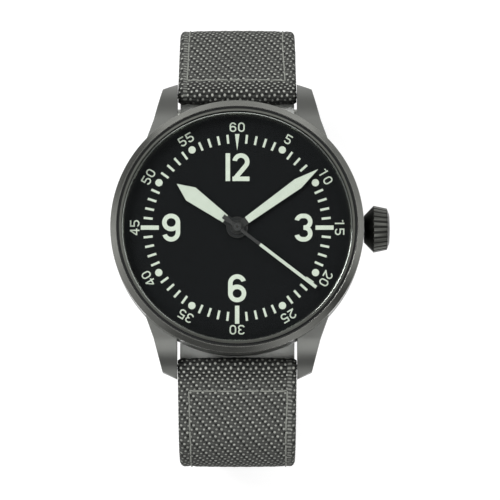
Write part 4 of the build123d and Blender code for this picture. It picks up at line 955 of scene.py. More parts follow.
@dataclass
class RefinedPart:
    """A machined part: the CAD solid with its sharp edges broken, as a file or a tumbling drum leaves them."""

    node: str
    name: str
    body: str
    slot: str
    finish: Finishes
    edge_mm: float
    steps: int = 2
    least_degrees: float = 28.0
    weld_mm: float = 0.0008
    flat_degrees: float = 0.6
    normal_weight: int = 80

    def build(self, nodes: Nodes) -> None:
        """Copies the solid, joins its loose triangles and breaks its edges.

        Args:
            nodes: The frame's CAD nodes by name.
        """
        piece = nodes[self.node].copy()
        piece.data = nodes[self.node].data.copy()
        piece.name = self.name
        for key in list(piece.keys()):
            del piece[key]
        piece.parent = None
        bpy.context.scene.collection.objects.link(piece)
        open_mesh(piece)
        bpy.ops.mesh.remove_doubles(threshold=self.weld_mm * MM)
        bpy.ops.mesh.dissolve_limited(angle_limit=math.radians(self.flat_degrees))
        bpy.ops.object.mode_set(mode="OBJECT")
        finish_modifier(piece, "BEVEL", width=self.edge_mm * MM, segments=self.steps, limit_method="ANGLE",
                        angle_limit=math.radians(self.least_degrees), use_clamp_overlap=True)
        smooth(piece, self.least_degrees)
        finish_modifier(piece, "WEIGHTED_NORMAL", mode="FACE_AREA", weight=self.normal_weight, keep_sharp=True)
        dress(piece, self.finish)
        hand_over(piece, self.body, self.slot, self.node)


# The studio


@dataclass
class Sun:
    """A broad soft lamp far away."""

    azimuth: float
    elevation: float
    strength: float
    spread: float


@dataclass
class Studio:
    """The pale floor, the soft light and the camera at the photograph's angle.

    Low down, the room has bright panels and dark gaps between them, so that the sloping metal is light and
    dark by turns. Overhead it is dark, so that the flat dial stays black. A panel is given by its place round
    the horizon in degrees and its brightness.
    """

    elevation: float = 84.3
    distance_mm: float = 700.0
    pixels_per_mm: float = 6.03
    centre_mm: tuple[float, float, float] = (2.13, -3.73, 7.5)
    nearest_m: float = 0.01
    floor_z_mm: float = -61.59
    floor_size_mm: float = 8000.0
    sensor_mm: float = 36.0
    room_level: float = 0.5
    overhead_share: float = 0.85
    front_share: float = 0.7
    front_power: float = 3.0
    wall_rise: Span = (0.3, 0.55)
    ceiling_rise: Span = (0.82, 0.97)
    panels: tuple[Span, ...] = (
        (0.0, 0.72), (30.0, 0.44), (45.0, 0.41), (60.0, 0.85), (90.0, 0.58), (120.0, 0.85), (135.0, 0.17),
        (150.0, 0.2), (180.0, 0.87), (210.0, 0.47), (225.0, 0.33), (240.0, 0.15), (270.0, 0.13), (300.0, 0.6),
        (315.0, 0.38), (330.0, 0.08), (359.9, 0.72))
    suns: tuple[Sun, ...] = (
        Sun(-125.0, 57.0, 1.7, 22.0),
        Sun(125.0, 52.0, 0.65, 50.0),
        Sun(0.0, 60.0, 0.9, 48.0),
    )

    def build(self) -> None:
        """Sets up camera, lamps, world and floor."""
        self.camera()
        self.lamps()
        self.room()
        self.floor()
        bpy.context.scene.view_settings.view_transform = "Standard"

    def camera(self) -> None:
        """Points the camera so that the dial stands where the photograph has it."""
        data = bpy.data.cameras.new("camera")
        camera = bpy.data.objects.new("camera", data)
        bpy.context.scene.collection.objects.link(camera)
        tilt = math.radians(self.elevation)
        back = Vector((0.0, -math.cos(tilt), math.sin(tilt)))
        camera.location = (Vector(self.centre_mm) + back * self.distance_mm) * MM
        camera.rotation_euler = back.to_track_quat("Z", "Y").to_euler()
        data.sensor_width = self.sensor_mm
        data.lens = self.sensor_mm * self.distance_mm * self.pixels_per_mm / IMAGE_PIXELS
        data.clip_start = self.nearest_m
        bpy.context.scene.camera = camera

    def lamps(self) -> None:
        """Sets the broad suns round the watch."""
        for number, sun in enumerate(self.suns, 1):
            data = bpy.data.lights.new(f"softbox_{number}", "SUN")
            data.energy = sun.strength
            data.angle = math.radians(sun.spread)
            lamp = bpy.data.objects.new(f"softbox_{number}", data)
            turn, rise = math.radians(sun.azimuth), math.radians(sun.elevation)
            away = Vector((math.sin(turn) * math.cos(rise), -math.cos(turn) * math.cos(rise), math.sin(rise)))
            lamp.rotation_euler = away.to_track_quat("Z", "Y").to_euler()
            lamp.location = away
            bpy.context.scene.collection.objects.link(lamp)

    def room(self) -> None:
        """Paints the room: panels and gaps round the horizon, an even wall above them, and a dark ceiling."""
        world = bpy.data.worlds.new("room")
        world.use_nodes = True
        tree = world.node_tree
        east, north, up = signal(tree, "TexCoord", output="Generated").split()
        turn = north.math("ARCTAN2", east) / math.tau + 1.0
        around = add(tree, "ValToRGB", {0: turn.math("FRACT")})
        stops = around.color_ramp.elements
        around.color_ramp.interpolation = "EASE"
        stops.remove(stops[1])
        for degrees, level in self.panels:
            stop = stops.new(degrees / 360.0) if degrees else stops[0]
            stop.color = (level, level, level, 1.0)
        front = (north * -1.0).math("MAXIMUM", 0.0).math("POWER", self.front_power)
        wall = front * (-self.front_share * self.room_level) + self.room_level
        rise = up.ramp(self.wall_rise, smooth=True)
        level = wall * rise + Signal(around.outputs[0]) * (1.0 - rise)
        level = level * (1.0 - up.ramp(self.ceiling_rise, (0.0, self.overhead_share), smooth=True))
        feed(tree.nodes["Background"].inputs["Strength"], level)
        feed(tree.nodes["Background"].inputs["Color"], "#ffffff")
        bpy.context.scene.world = world

    def floor(self) -> None:
        """Lays the pale floor under the strap."""
        bpy.ops.mesh.primitive_plane_add(size=self.floor_size_mm * MM, location=(0, 0, self.floor_z_mm * MM))
        floor = bpy.context.active_object
        floor.name = "floor"
        dress(floor, Finishes.FLOOR)


# Case, crown, dial, hands and movement


@dataclass
class Case:
    """Case middle with its lugs, bezel, crystal, rings, case back and spring bars."""

    edge_mm: float = 0.12
    bezel_edge_mm: float = 0.05
    back_edge_mm: float = 0.08
    ring_steps: int = 192
    ring_profile: tuple[Span, ...] = (
        (18.6, 7.5), (19.3, 7.5), (19.3, 9.3), (19.06, 9.3), (18.98, 9.28), (18.91, 9.23), (18.85, 9.15),
        (18.8, 9.04), (18.76, 8.9), (18.71, 8.55), (18.65, 8.0))

    def build(self, nodes: Nodes) -> None:
        """Refines the outer solids and dresses the rest.

        Args:
            nodes: The frame's CAD nodes by name.
        """
        for node, name, slot, finish, edge in (
                ("case_middle", "case_middle_body", "case_metal", Finishes.CASE, self.edge_mm),
                ("bezel", "bezel_ring", "bezel_metal", Finishes.BEZEL, self.bezel_edge_mm),
                ("case_back", "case_back_plate", "case_metal", Finishes.BACK, self.back_edge_mm)):
            RefinedPart(node, name, "case", slot, finish, edge).build(nodes)
        dress_nodes(nodes, {
            Finishes.CRYSTAL: ("crystal",),
            Finishes.BACK_CRYSTAL: ("back_crystal",),
            Finishes.GASKET: ("crystal_gasket", "case_back_gasket"),
            Finishes.STEEL: ("crown_tube", "spring_bar_12", "spring_bar_6", "casing_clamps"),
            Finishes.HOLDER: ("movement_ring",),
        })
        ring = turned("inner_ring", list(self.ring_profile), self.ring_steps)
        dress(ring, Finishes.REHAUT)
        hand_over(ring, "case", "polished_steel", "rehaut_ring")


@dataclass
class DialAndHands:
    """The dial with its printed marks, and the three hands with their fillings and hubs."""

    hour_top: float = 8.0
    hour_bead: float = 1.8
    minute_top: float = 8.4
    minute_bead: float = 1.17
    bead_width: float = 0.16
    bead_levels: tuple[float, float, float] = (-0.02, 0.04, 0.09)
    bead_flat: Span = (0.3, 0.7)
    bead_steps: int = 64
    second_top: float = 8.8
    cap_radius: float = 0.76
    cap_height: float = 0.2
    cap_edge: Span = (0.1, 0.08)
    cap_steps: int = 48
    pin_radius: float = 0.16
    pin_depth: float = 0.14

    def build(self, nodes: Nodes) -> None:
        """Dresses the dial and the hands.

        Args:
            nodes: The frame's CAD nodes by name.
        """
        dress_nodes(nodes, {
            Finishes.DIAL: ("dial",),
            Finishes.PRINT: ("dial_numerals", "dial_minute_track", "dial_minute_numerals"),
            Finishes.HOUR_HAND: ("hour_hand",),
            Finishes.MINUTE_HAND: ("minute_hand",),
            Finishes.SECOND_HAND: ("second_hand",),
            Finishes.LUME: ("hour_hand_lume", "minute_hand_lume", "second_hand_lume"),
        })
        self.bead("hour_hub_bead", "hours", self.hour_bead, self.hour_top)
        self.bead("minute_hub_bead", "minutes", self.minute_bead, self.minute_top)
        (in_by, down_by), radius, pin = self.cap_edge, self.cap_radius, self.pin_radius
        foot, top = self.second_top, self.second_top + self.cap_height
        hollow = top - self.pin_depth
        cap = turned("second_hub_cap", [(0.0, foot), (radius, foot), (radius, top - down_by), (radius - in_by, top),
                                        (pin, top), (pin, hollow), (0.0, hollow)], self.cap_steps)
        dress(cap, Finishes.SECOND_HAND)
        hand_over(cap, "seconds", "hand_metal")

    def bead(self, name: str, body: str, radius: float, height: float) -> None:
        """A round bead on a hand's hub.

        Args:
            name: The piece's name.
            body: The hand's body.
            radius: The bead's radius in millimetres.
            height: The height of the hub's face in millimetres.
        """
        wide = self.bead_width
        foot, shoulder, top = (height + level for level in self.bead_levels)
        outer, inner = (radius - wide * share for share in self.bead_flat)
        ring = turned(name, [(radius - wide, foot), (radius, foot), (radius, shoulder), (outer, top), (inner, top),
                             (radius - wide, shoulder)], self.bead_steps)
        dress(ring, Finishes.MINUTE_HAND)
        hand_over(ring, body, "hand_metal")


@dataclass
class Movement:
    """The automatic movement: plates, wheels, winding work and rotor."""

    edge_mm: float = 0.06
    least_degrees: float = 50.0

    def build(self, nodes: Nodes) -> None:
        """Refines the plates that show through the back and dresses the rest.

        Args:
            nodes: The frame's CAD nodes by name.
        """
        for node in ("barrel_bridge", "train_bridge", "balance_cock", "automatic_bridge", "rotor"):
            body = "winding_rotor" if node == "rotor" else "case"
            RefinedPart(node, node + "_plate", body, "plate_nickel", Finishes.BRIDGE, self.edge_mm, 1,
                        self.least_degrees).build(nodes)
        dress_nodes(nodes, {
            Finishes.PLATE: ("main_plate",),
            Finishes.GILT: ("fourth_wheel", "centre_wheel", "hour_wheel", "minute_wheel", "third_wheel",
                            "barrel_drum", "balance_wheel"),
            Finishes.STEEL: ("escape_wheel", "pallet_fork", "winding_pinion", "sliding_pinion", "crown_wheel",
                             "ratchet_wheel", "setting_lever", "winding_stem", "cannon_pinion", "mainspring",
                             "hairspring", "rotor_bearing"),
            Finishes.BLUED: ("movement_screws",),
            Finishes.RUBY: ("jewels",),
        })


@dataclass
class Crown:
    """The onion crown with its flutes."""

    edge_mm: float = 0.06
    least_degrees: float = 24.0

    def build(self, nodes: Nodes) -> None:
        """Breaks the edges of the flutes.

        Args:
            nodes: The frame's CAD nodes by name.
        """
        RefinedPart("crown", "crown_onion", "crown_and_stem", "crown_metal", Finishes.CROWN, self.edge_mm,
                    least_degrees=self.least_degrees).build(nodes)


# The strap


class Half(Enum):
    """The two strap halves, each with the way it leaves the case along Y."""

    TWELVE = 1
    SIX = -1


@dataclass
class Route:
    """The strap's middle line in side view, as straight runs (length, 0) and arcs (radius, turn).

    It starts on the spring bar. Before its start and after its end a point goes round the bar there.
    """

    moves: tuple[Span, ...]
    way: int
    heading: float
    start: Span = (22.8, 2.0)
    roll_mm: float = 1.25
    stops: list[tuple[float, float, float, float]] = field(default_factory=list)

    def __post_init__(self) -> None:
        """Works out where each move begins: its distance along, place and heading."""
        x, y, angle, along = *self.start, self.heading, 0.0
        for size, turn in self.moves:
            self.stops.append((along, x, y, angle))
            x, y, angle = self.step(x, y, angle, size, turn, 1.0)
            along += size if turn == 0 else size * math.radians(abs(turn))
        self.stops.append((along, x, y, angle))

    @property
    def length(self) -> float:
        """The length of the middle line in millimetres."""
        return self.stops[-1][0]

    @staticmethod
    def step(x: float, y: float, angle: float, size: float, turn: float, share: float) -> tuple[float, float, float]:
        """Goes a share of one move.

        Args:
            x: The outward place in millimetres.
            y: The height in millimetres.
            angle: The heading in degrees.
            size: The move's length or radius.
            turn: The move's turn in degrees, 0 for a straight run.
            share: How much of the move to go.

        Returns:
            The new place and heading.
        """
        if turn == 0:
            return (x + size * share * math.cos(math.radians(angle)),
                    y + size * share * math.sin(math.radians(angle)), angle)
        side = size if turn > 0 else -size
        x -= side * math.sin(math.radians(angle))
        y += side * math.cos(math.radians(angle))
        angle += turn * share
        return x + side * math.sin(math.radians(angle)), y - side * math.cos(math.radians(angle)), angle

    def stop(self, along: float) -> tuple[float, float, float]:
        """The place and heading at a distance along the line, within its two ends.

        Args:
            along: The distance along the line in millimetres.

        Returns:
            The outward place and the height in millimetres, and the heading in degrees.
        """
        along = min(max(along, 0.0), self.length)
        for (begin, x, y, angle), (end, *_), (size, turn) in zip(self.stops, self.stops[1:], self.moves):
            if along <= end:
                return self.step(x, y, angle, size, turn, (along - begin) / (end - begin))
        return self.stops[-1][1:]

    def point(self, across: float, along: float, out: float) -> Vector:
        """Wraps a point of the flat strap onto the line.

        Args:
            across: Its place across the strap in millimetres.
            along: Its distance along the strap in millimetres.
            out: Its height over the middle line in millimetres.

        Returns:
            The point in metres.
        """
        x, y, heading = self.stop(along)
        angle = math.radians(heading + 90.0)
        if along < 0:
            angle -= along / self.roll_mm
        elif along > self.length:
            angle -= (along - self.length) / self.roll_mm
        return Vector((across, self.way * (x + out * math.cos(angle)), y + out * math.sin(angle))) * MM


def flat_band(name: str, width: float, start: float, end: float, columns: int, rows: int) -> bpy.types.Object:
    """A flat band with a grid on both faces: X across, Y along, Z 0 on top and -1 mm below.

    Args:
        name: The piece's name.
        width: The band's width in millimetres.
        start: Where it begins along Y.
        end: Where it ends along Y.
        columns: How many faces it has across.
        rows: How many faces it has along.

    Returns:
        The band, with sizes in metres and a map in millimetres named "cloth".
    """
    bpy.ops.object.select_all(action="DESELECT")
    bpy.ops.mesh.primitive_grid_add(x_subdivisions=columns, y_subdivisions=rows, size=1.0)
    band = bpy.context.active_object
    band.name = name
    open_mesh(band)
    bpy.ops.transform.resize(value=(width * MM, (end - start) * MM, 1.0))
    bpy.ops.transform.translate(value=(0.0, (start + end) / 2 * MM, 0.0))
    bpy.ops.mesh.extrude_region_move(TRANSFORM_OT_translate={"value": (0.0, 0.0, -MM)})
    bpy.ops.object.mode_set(mode="OBJECT")
    face_outwards(band)
    for layer in list(band.data.uv_layers):
        band.data.uv_layers.remove(layer)
    band.data.uv_layers.new(name="cloth")
    return band


def flat_points(band: bpy.types.Object) -> list[tuple[bpy.types.MeshVertex, float, float, bool]]:
    """Each vertex of a flat band with its place across and along in millimetres, and whether it lies below."""
    return [(vertex, vertex.co.x / MM, vertex.co.y / MM, vertex.co.z < -0.5 * MM) for vertex in band.data.vertices]


def map_flat(band: bpy.types.Object, places: list[Span]) -> None:
    """Writes each vertex's place in the flat cloth, in millimetres, into the band's map.

    Args:
        band: The band.
        places: The flat place of each vertex, across and along.
    """
    layer = band.data.uv_layers["cloth"].data
    for loop in band.data.loops:
        layer[loop.index].uv = places[loop.vertex_index]


def cut(piece: bpy.types.Object, cutters: list[bpy.types.Object]) -> None:
    """Cuts solids out of a piece and removes the cutters.

    Args:
        piece: The piece to cut.
        cutters: The solids to take away.
    """
    for cutter in cutters:
        finish_modifier(piece, "BOOLEAN", operation="DIFFERENCE", solver="EXACT", object=cutter)
        bpy.data.objects.remove(cutter)


@dataclass
class StrapHalf:
    """One strap half: the woven outer layer rolled round its bar, the lining behind it, and the stitching."""

    half: Half
    moves: tuple[Span, ...]
    heading: float
    cross_seam: float
    tip_radius: float = 0.0
    end_roll: bool = False
    holes: tuple[float, ...] = ()
    seam_insets: Span = (1.5, 1.9)
    width: float = 19.7
    end_width: float = 18.0
    taper_length: float = 42.0
    half_thickness: float = 1.3
    seam_level: float = -0.3
    bar_outer: float = 1.6
    bar_inner: float = 0.88
    buckle_outer: float = 1.75
    buckle_inner: float = 0.83
    roll_reach: float = 1.3
    wrap_degrees: float = 222.0
    least_tip_square: float = 0.35
    columns: int = 76
    column_mm: float = 0.2608
    row_mm: float = 0.215
    core_half_width: float = 8.5
    core_share: float = 0.94
    still_length: float = 4.0
    drift_waves: tuple[tuple[float, float, float, float], ...] = ((0.12, 0.55, 0.0, 1.3), (0.07, 1.3, 0.35, 0.0))
    crown_mm: float = 0.15
    edge_radius: float = 0.6
    seam_dip: float = 0.12
    seam_reach: float = 0.4
    yarn_height: float = 0.07
    least_wall: float = 0.25
    scallop: float = 0.08
    scalloped_length: float = 28.0
    scallop_fade: float = 6.0
    lining_start: float = 1.0
    lining_tip: float = 0.03
    lining_columns: int = 28
    lining_row_mm: float = 0.8
    lining_edge: float = 0.35
    lining_overlap: float = 0.02
    tab_half_width: float = 9.55
    tab_radius: float = 20.92
    tab_back: float = 22.6
    tab_levels: Span = (0.75, 0.3)
    tab_bridge: Span = (20.0, 22.4)
    tab_edge: float = 0.1
    hole_radius: float = 1.0
    slot_width: float = 2.6
    slot_length: float = 3.0
    slot_spare: float = 1.0
    cutter_mm: float = 8.0
    stitch_mm: float = 2.4
    thread_mm: float = 0.28
    seam_end: float = 2.5
    seam_wander: float = 0.1
    wander_per_mm: float = 0.23
    needle_error: float = 0.06
    end_thinning: float = 0.35
    stitch_lift: float = 0.1
    end_sink: float = 0.2

    def __post_init__(self) -> None:
        """Sets the route and the names that go with this half."""
        twelve = self.half is Half.TWELVE
        self.route = Route(self.moves, self.half.value, self.heading)
        self.label = "strap_12" if twelve else "strap_6"
        self.cloth = Finishes.CLOTH_12 if twelve else Finishes.CLOTH_6
        self.seed = 7 if twelve else 11
        self.wrap = math.radians(self.wrap_degrees) * self.route.roll_mm

    def half_width(self, along: float) -> float:
        """Half the strap's width at a distance along it, with its taper."""
        drop = self.route.start[1] - self.route.point(0.0, along, 0.0).z / MM
        return (self.width + (self.end_width - self.width) * share_of(drop, self.taper_length)) / 2

    def tip_half_width(self, along: float, plain: float) -> float:
        """The half width where the round tip narrows it.

        Args:
            along: The distance along the strap in millimetres.
            plain: The half width without the tip.

        Returns:
            The half width in millimetres.
        """
        into = along - (self.route.length - self.tip_radius)
        if not self.tip_radius or into <= 0:
            return plain
        return min(plain, math.sqrt(max(self.tip_radius ** 2 - into ** 2, self.least_tip_square)))

    def top(self, along: float) -> float:
        """The height of the woven layer's face over the middle line.

        Args:
            along: The distance along the strap in millimetres.

        Returns:
            The height in millimetres.
        """
        if along <= 0:
            return self.bar_outer
        left = self.route.length - along
        if self.end_roll and left <= 0:
            return self.buckle_outer
        rest = self.half_thickness + (self.bar_outer - self.half_thickness) * hump(along, self.roll_reach)
        if self.end_roll:
            rest += (self.buckle_outer - self.half_thickness) * hump(left, self.roll_reach)
        return rest

    def bottom(self, along: float) -> float:
        """The height of the woven layer's inner side over the middle line.

        Args:
            along: The distance along the strap in millimetres.

        Returns:
            The height in millimetres.
        """
        ends = [(along, self.bar_inner)]
        if self.end_roll:
            ends.append((self.route.length - along, self.buckle_inner))
        for inside, radius in ends:
            if inside < radius:
                return math.sqrt(radius ** 2 - max(inside, 0.0) ** 2)
        return self.seam_level

    def spread(self, column: float, along: float) -> float:
        """The place across of one column of yarns: the taper and the round tip only draw in the outer ones.

        Args:
            column: The column's place across the unshaped band in millimetres.
            along: The distance along the strap in millimetres.

        Returns:
            Its place across the strap in millimetres.
        """
        plain = self.half_width(along)
        core = min(self.core_half_width, self.core_share * plain)
        flat_half = self.columns * self.column_mm / 2
        place = min(abs(column), core) + max(abs(column) - core, 0.0) * (plain - core) / (flat_half - core)
        return math.copysign(place * self.tip_half_width(along, plain) / plain, column)

    def drift(self, across: float, along: float) -> float:
        """How far a row of yarns wanders along the strap.

        Args:
            across: The place across the strap in millimetres.
            along: The distance along the strap in millimetres.

        Returns:
            The shift along the strap in millimetres.
        """
        fade = share_of(along, self.still_length) * share_of(self.route.length - along, self.still_length)
        return fade * sum(height * math.sin(per_across * across + per_along * along + start)
                          for height, per_across, per_along, start in self.drift_waves)

    def face_height(self, across: float, along: float, half_width: float) -> float:
        """The height of the cloth's face: crowned, dipped under the seams and rounded off at the edge.

        Args:
            across: The place across the strap in millimetres.
            along: The distance along the strap in millimetres.
            half_width: Half the strap's width there.

        Returns:
            The height over the middle line in millimetres.
        """
        height = self.top(along) - self.crown_mm * (across / half_width) ** 2
        from_seam = abs(across) - (half_width - self.seam_insets[across > 0])
        height -= self.seam_dip * hump(from_seam, self.seam_reach)
        height -= self.seam_dip * hump(along - self.cross_seam, self.seam_reach) * (from_seam < 0)
        edge = half_width - abs(across)
        if self.tip_radius:
            edge = min(edge, self.route.length - along)
        return max(height - rounding(edge, self.edge_radius), self.bottom(along) + self.least_wall)

    def build(self) -> None:
        """Makes the woven layer, the lining with its tab and the stitching."""
        self.woven_layer()
        self.lining()
        self.tab()
        self.stitching()

    def woven_layer(self) -> None:
        """The woven outer layer, with its roll round the spring bar and, on the short half, the buckle bar."""
        end = self.route.length + (self.wrap if self.end_roll else 0.0)
        begin = (math.floor(-self.wrap / self.row_mm) + 0.5) * self.row_mm
        rows = math.floor((end - begin) / self.row_mm)
        band = flat_band(f"{self.label}_cloth", self.columns * self.column_mm, begin, begin + rows * self.row_mm,
                         self.columns, rows)
        weave, places = self.cloth.value, []
        for vertex, column, along, below in flat_points(band):
            plain = self.half_width(along)
            half_width = self.tip_half_width(along, plain)
            x = self.spread(column, along)
            if plain - abs(x) < self.column_mm:
                wave = self.scallop * share_of(self.scalloped_length - along, self.scallop_fade)
                x += math.copysign(wave * math.cos(math.tau * (along / weave.row_mm - 0.5)), x)
            height, wall = self.face_height(x, along, half_width), 0.0
            if below:
                wall = height - self.bottom(along)
                height = self.bottom(along)
            elif half_width == plain and plain - abs(x) > self.edge_radius / 2:
                height += self.yarn_height * weave.rise(x, self.half.value * along)
            vertex.co = (x * MM, (along + self.drift(x, along)) * MM, height * MM)
            places.append((x + math.copysign(wall, x), self.half.value * along))
        self.complete(band, places, 60.0, self.cloth, "strap_weave", f"{self.label}_outer")

    def lining(self) -> None:
        """The lining leather behind the cloth."""
        begin = self.lining_start
        end = self.route.length - (self.lining_start if self.end_roll else self.lining_tip)
        band = flat_band(f"{self.label}_leather", self.width, begin, end, self.lining_columns,
                         round((end - begin) / self.lining_row_mm))
        places = []
        for vertex, across, along, below in flat_points(band):
            half_width = self.tip_half_width(along, self.half_width(along))
            x = across * 2 * half_width / self.width
            height = self.seam_level + self.lining_overlap
            if below:
                height = rounding(half_width - abs(x), self.lining_edge) - self.half_thickness
            vertex.co = (x * MM, along * MM, height * MM)
            places.append((x, along))
        self.complete(band, places, 50.0, Finishes.LINING, "strap_lining", f"{self.label}_lining")

    def complete(self, band: bpy.types.Object, places: list[Span], degrees: float, finish: Finishes, slot: str,
                 node: str) -> None:
        """Maps a flat layer, cuts it, bends it along the strap's route and hands it over.

        Args:
            band: The layer, still flat.
            places: The flat place of each vertex, across and along.
            degrees: Edges that bend more than this stay sharp.
            finish: The layer's finish.
            slot: The record's material slot.
            node: The CAD node that it stands for.
        """
        map_flat(band, places)
        cut(band, self.cutters())
        for vertex in band.data.vertices:
            vertex.co = self.route.point(*(value / MM for value in vertex.co))
        face_outwards(band)
        smooth(band, degrees)
        dress(band, finish)
        hand_over(band, self.label, slot, node)

    def tab(self) -> None:
        """The end of the lining that comes out under the roll and follows the round case."""
        tab = flat_band(f"{self.label}_tab", 2 * self.tab_half_width, 0.0, 1.0, columns=30, rows=4)
        places = []
        for vertex, x, share, below in flat_points(tab):
            front = math.sqrt(self.tab_radius ** 2 - x ** 2)
            y = front + (self.tab_back - front) * share
            vertex.co = (x * MM, self.half.value * y * MM, self.tab_levels[below] * MM)
            places.append((x, y))
        map_flat(tab, places)
        face_outwards(tab)
        finish_modifier(tab, "BEVEL", width=self.tab_edge * MM, segments=2, limit_method="ANGLE", angle_limit=1.0)
        smooth(tab, 40.0)
        # painted light: the tab wears a far paler copy of the lining leather against the case's shade
        dress(tab, Finishes.TAB)
        near, far = (Vector((0.0, self.half.value * y, self.tab_levels[0])) * MM for y in self.tab_bridge)
        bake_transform(tab)
        log.info("piece %s bridges case and %s with %d faces", tab.name, self.label, len(tab.data.polygons))

    def cutters(self) -> list[bpy.types.Object]:
        """The solids for the buckle holes or for the tongue's slot, in the flat strap.

        Returns:
            The solids.
        """
        cutters = []
        for place in self.holes:
            bpy.ops.object.select_all(action="DESELECT")
            bpy.ops.mesh.primitive_cylinder_add(vertices=24, radius=self.hole_radius * MM, depth=self.cutter_mm * MM,
                                                location=(0.0, place * MM, 0.0))
            cutters.append(bpy.context.active_object)
        if self.end_roll:
            length = self.slot_length + self.wrap + self.slot_spare
            bpy.ops.object.select_all(action="DESELECT")
            bpy.ops.mesh.primitive_cube_add(
                size=1.0, location=(0.0, (self.route.length - self.slot_length + length / 2) * MM, 0.0),
                scale=(self.slot_width * MM, length * MM, self.cutter_mm * MM))
            cutters.append(bpy.context.active_object)
        return cutters

    def seam_lines(self) -> list[list[Span]]:
        """The seams in the flat strap: one inside each edge and one across, near the spring bar.

        Returns:
            The needle holes of each seam, as (across, along).
        """
        last = self.route.length - (self.seam_end if self.end_roll else self.tip_radius)
        lines = []
        for side, inset in zip((-1, 1), self.seam_insets):
            points, along = [], self.cross_seam
            while along < last:
                wander = self.seam_wander * math.sin(self.wander_per_mm * along + 2 * side)
                points.append((side * (self.half_width(along) - inset) + wander, along))
                along += self.stitch_mm
            if self.tip_radius:
                points += self.tip_seam(side, inset)
            lines.append(points)
        left, right = lines[0][0][0], lines[1][0][0]
        count = round((right - left) / self.stitch_mm)
        lines.append([(left + (right - left) * step / count, self.cross_seam) for step in range(count + 1)])
        return lines

    def tip_seam(self, side: int, inset: float) -> list[Span]:
        """The part of a side seam that follows the round tip to its middle.

        Args:
            side: -1 or 1, the side of the strap.
            inset: How far the seam lies inside the edge, in millimetres.

        Returns:
            The needle holes of that part, as (across, along).
        """
        radius = self.tip_radius - inset
        centre = self.route.length - self.tip_radius
        count = max(round(radius * math.pi / 2 / self.stitch_mm), 1)
        plain = self.half_width(centre) - inset
        return [(side * min(plain, radius * math.cos(math.pi / 2 * step / count)),
                 centre + radius * math.sin(math.pi / 2 * step / count)) for step in range(count + 1)]

    def stitching(self) -> None:
        """Sews all seams: one stitch is modelled and copied from hole to hole."""
        wobble, error = random.Random(self.seed), self.needle_error
        pattern, stitches = self.stitch(), []
        for line in self.seam_lines():
            line = [(across + wobble.uniform(-error, error), along + wobble.uniform(-error, error))
                    for across, along in line]
            stitches += [self.lay_stitch(pattern, first, second) for first, second in zip(line, line[1:])]
        bpy.data.objects.remove(pattern)
        select_only(stitches[0])
        for stitch in stitches:
            stitch.select_set(True)
        bpy.ops.object.join()
        seams = bpy.context.active_object
        seams.name = f"{self.label}_stitching"
        face_outwards(seams)
        bpy.ops.object.shade_smooth()
        dress(seams, Finishes.THREAD)
        hand_over(seams, self.label, "strap_weave")

    def stitch(self) -> bpy.types.Object:
        """One stitch along Y, from 0 to 1: a thread with tapered ends.

        Returns:
            The stitch.
        """
        bpy.ops.object.select_all(action="DESELECT")
        bpy.ops.mesh.primitive_cylinder_add(vertices=8, radius=self.thread_mm / 2, depth=1.0,
                                            rotation=(math.pi / 2, 0.0, 0.0), location=(0.0, 0.5, 0.0))
        bpy.ops.object.transform_apply(location=True, rotation=True, scale=True)
        stitch = bpy.context.active_object
        open_mesh(stitch, "DESELECT")
        bpy.ops.object.mode_set(mode="OBJECT")
        for edge in stitch.data.edges:
            first, second = (stitch.data.vertices[index].co.y for index in edge.vertices)
            edge.select = abs(first - second) > 0.5
        bpy.ops.object.mode_set(mode="EDIT")
        bpy.ops.mesh.subdivide(number_cuts=6)
        bpy.ops.object.mode_set(mode="OBJECT")
        return stitch

    def lay_stitch(self, pattern: bpy.types.Object, first: Span, second: Span) -> bpy.types.Object:
        """Copies the stitch between two needle holes of the flat strap and wraps it onto the route.

        Args:
            pattern: The one stitch that is copied.
            first: The hole where it comes up, as (across, along).
            second: The hole where it goes down.

        Returns:
            The copy, in place.
        """
        copy = pattern.copy()
        copy.data = pattern.data.copy()
        bpy.context.scene.collection.objects.link(copy)
        run = Vector(second) - Vector(first)
        side = Vector((-run.y, run.x)) / run.length
        for vertex in copy.data.vertices:
            share = vertex.co.y
            from_middle = abs(2 * share - 1)
            thin = 1.0 - self.end_thinning * from_middle ** 4
            middle = Vector(first) + run * share
            place = middle + side * (vertex.co.x * thin)
            half_width = self.tip_half_width(middle.y, self.half_width(middle.y))
            lift = self.stitch_lift - self.end_sink * from_middle ** 3
            out = self.face_height(middle.x, middle.y, half_width) + lift + vertex.co.z * thin
            vertex.co = self.route.point(place.x, place.y, out)
        return copy


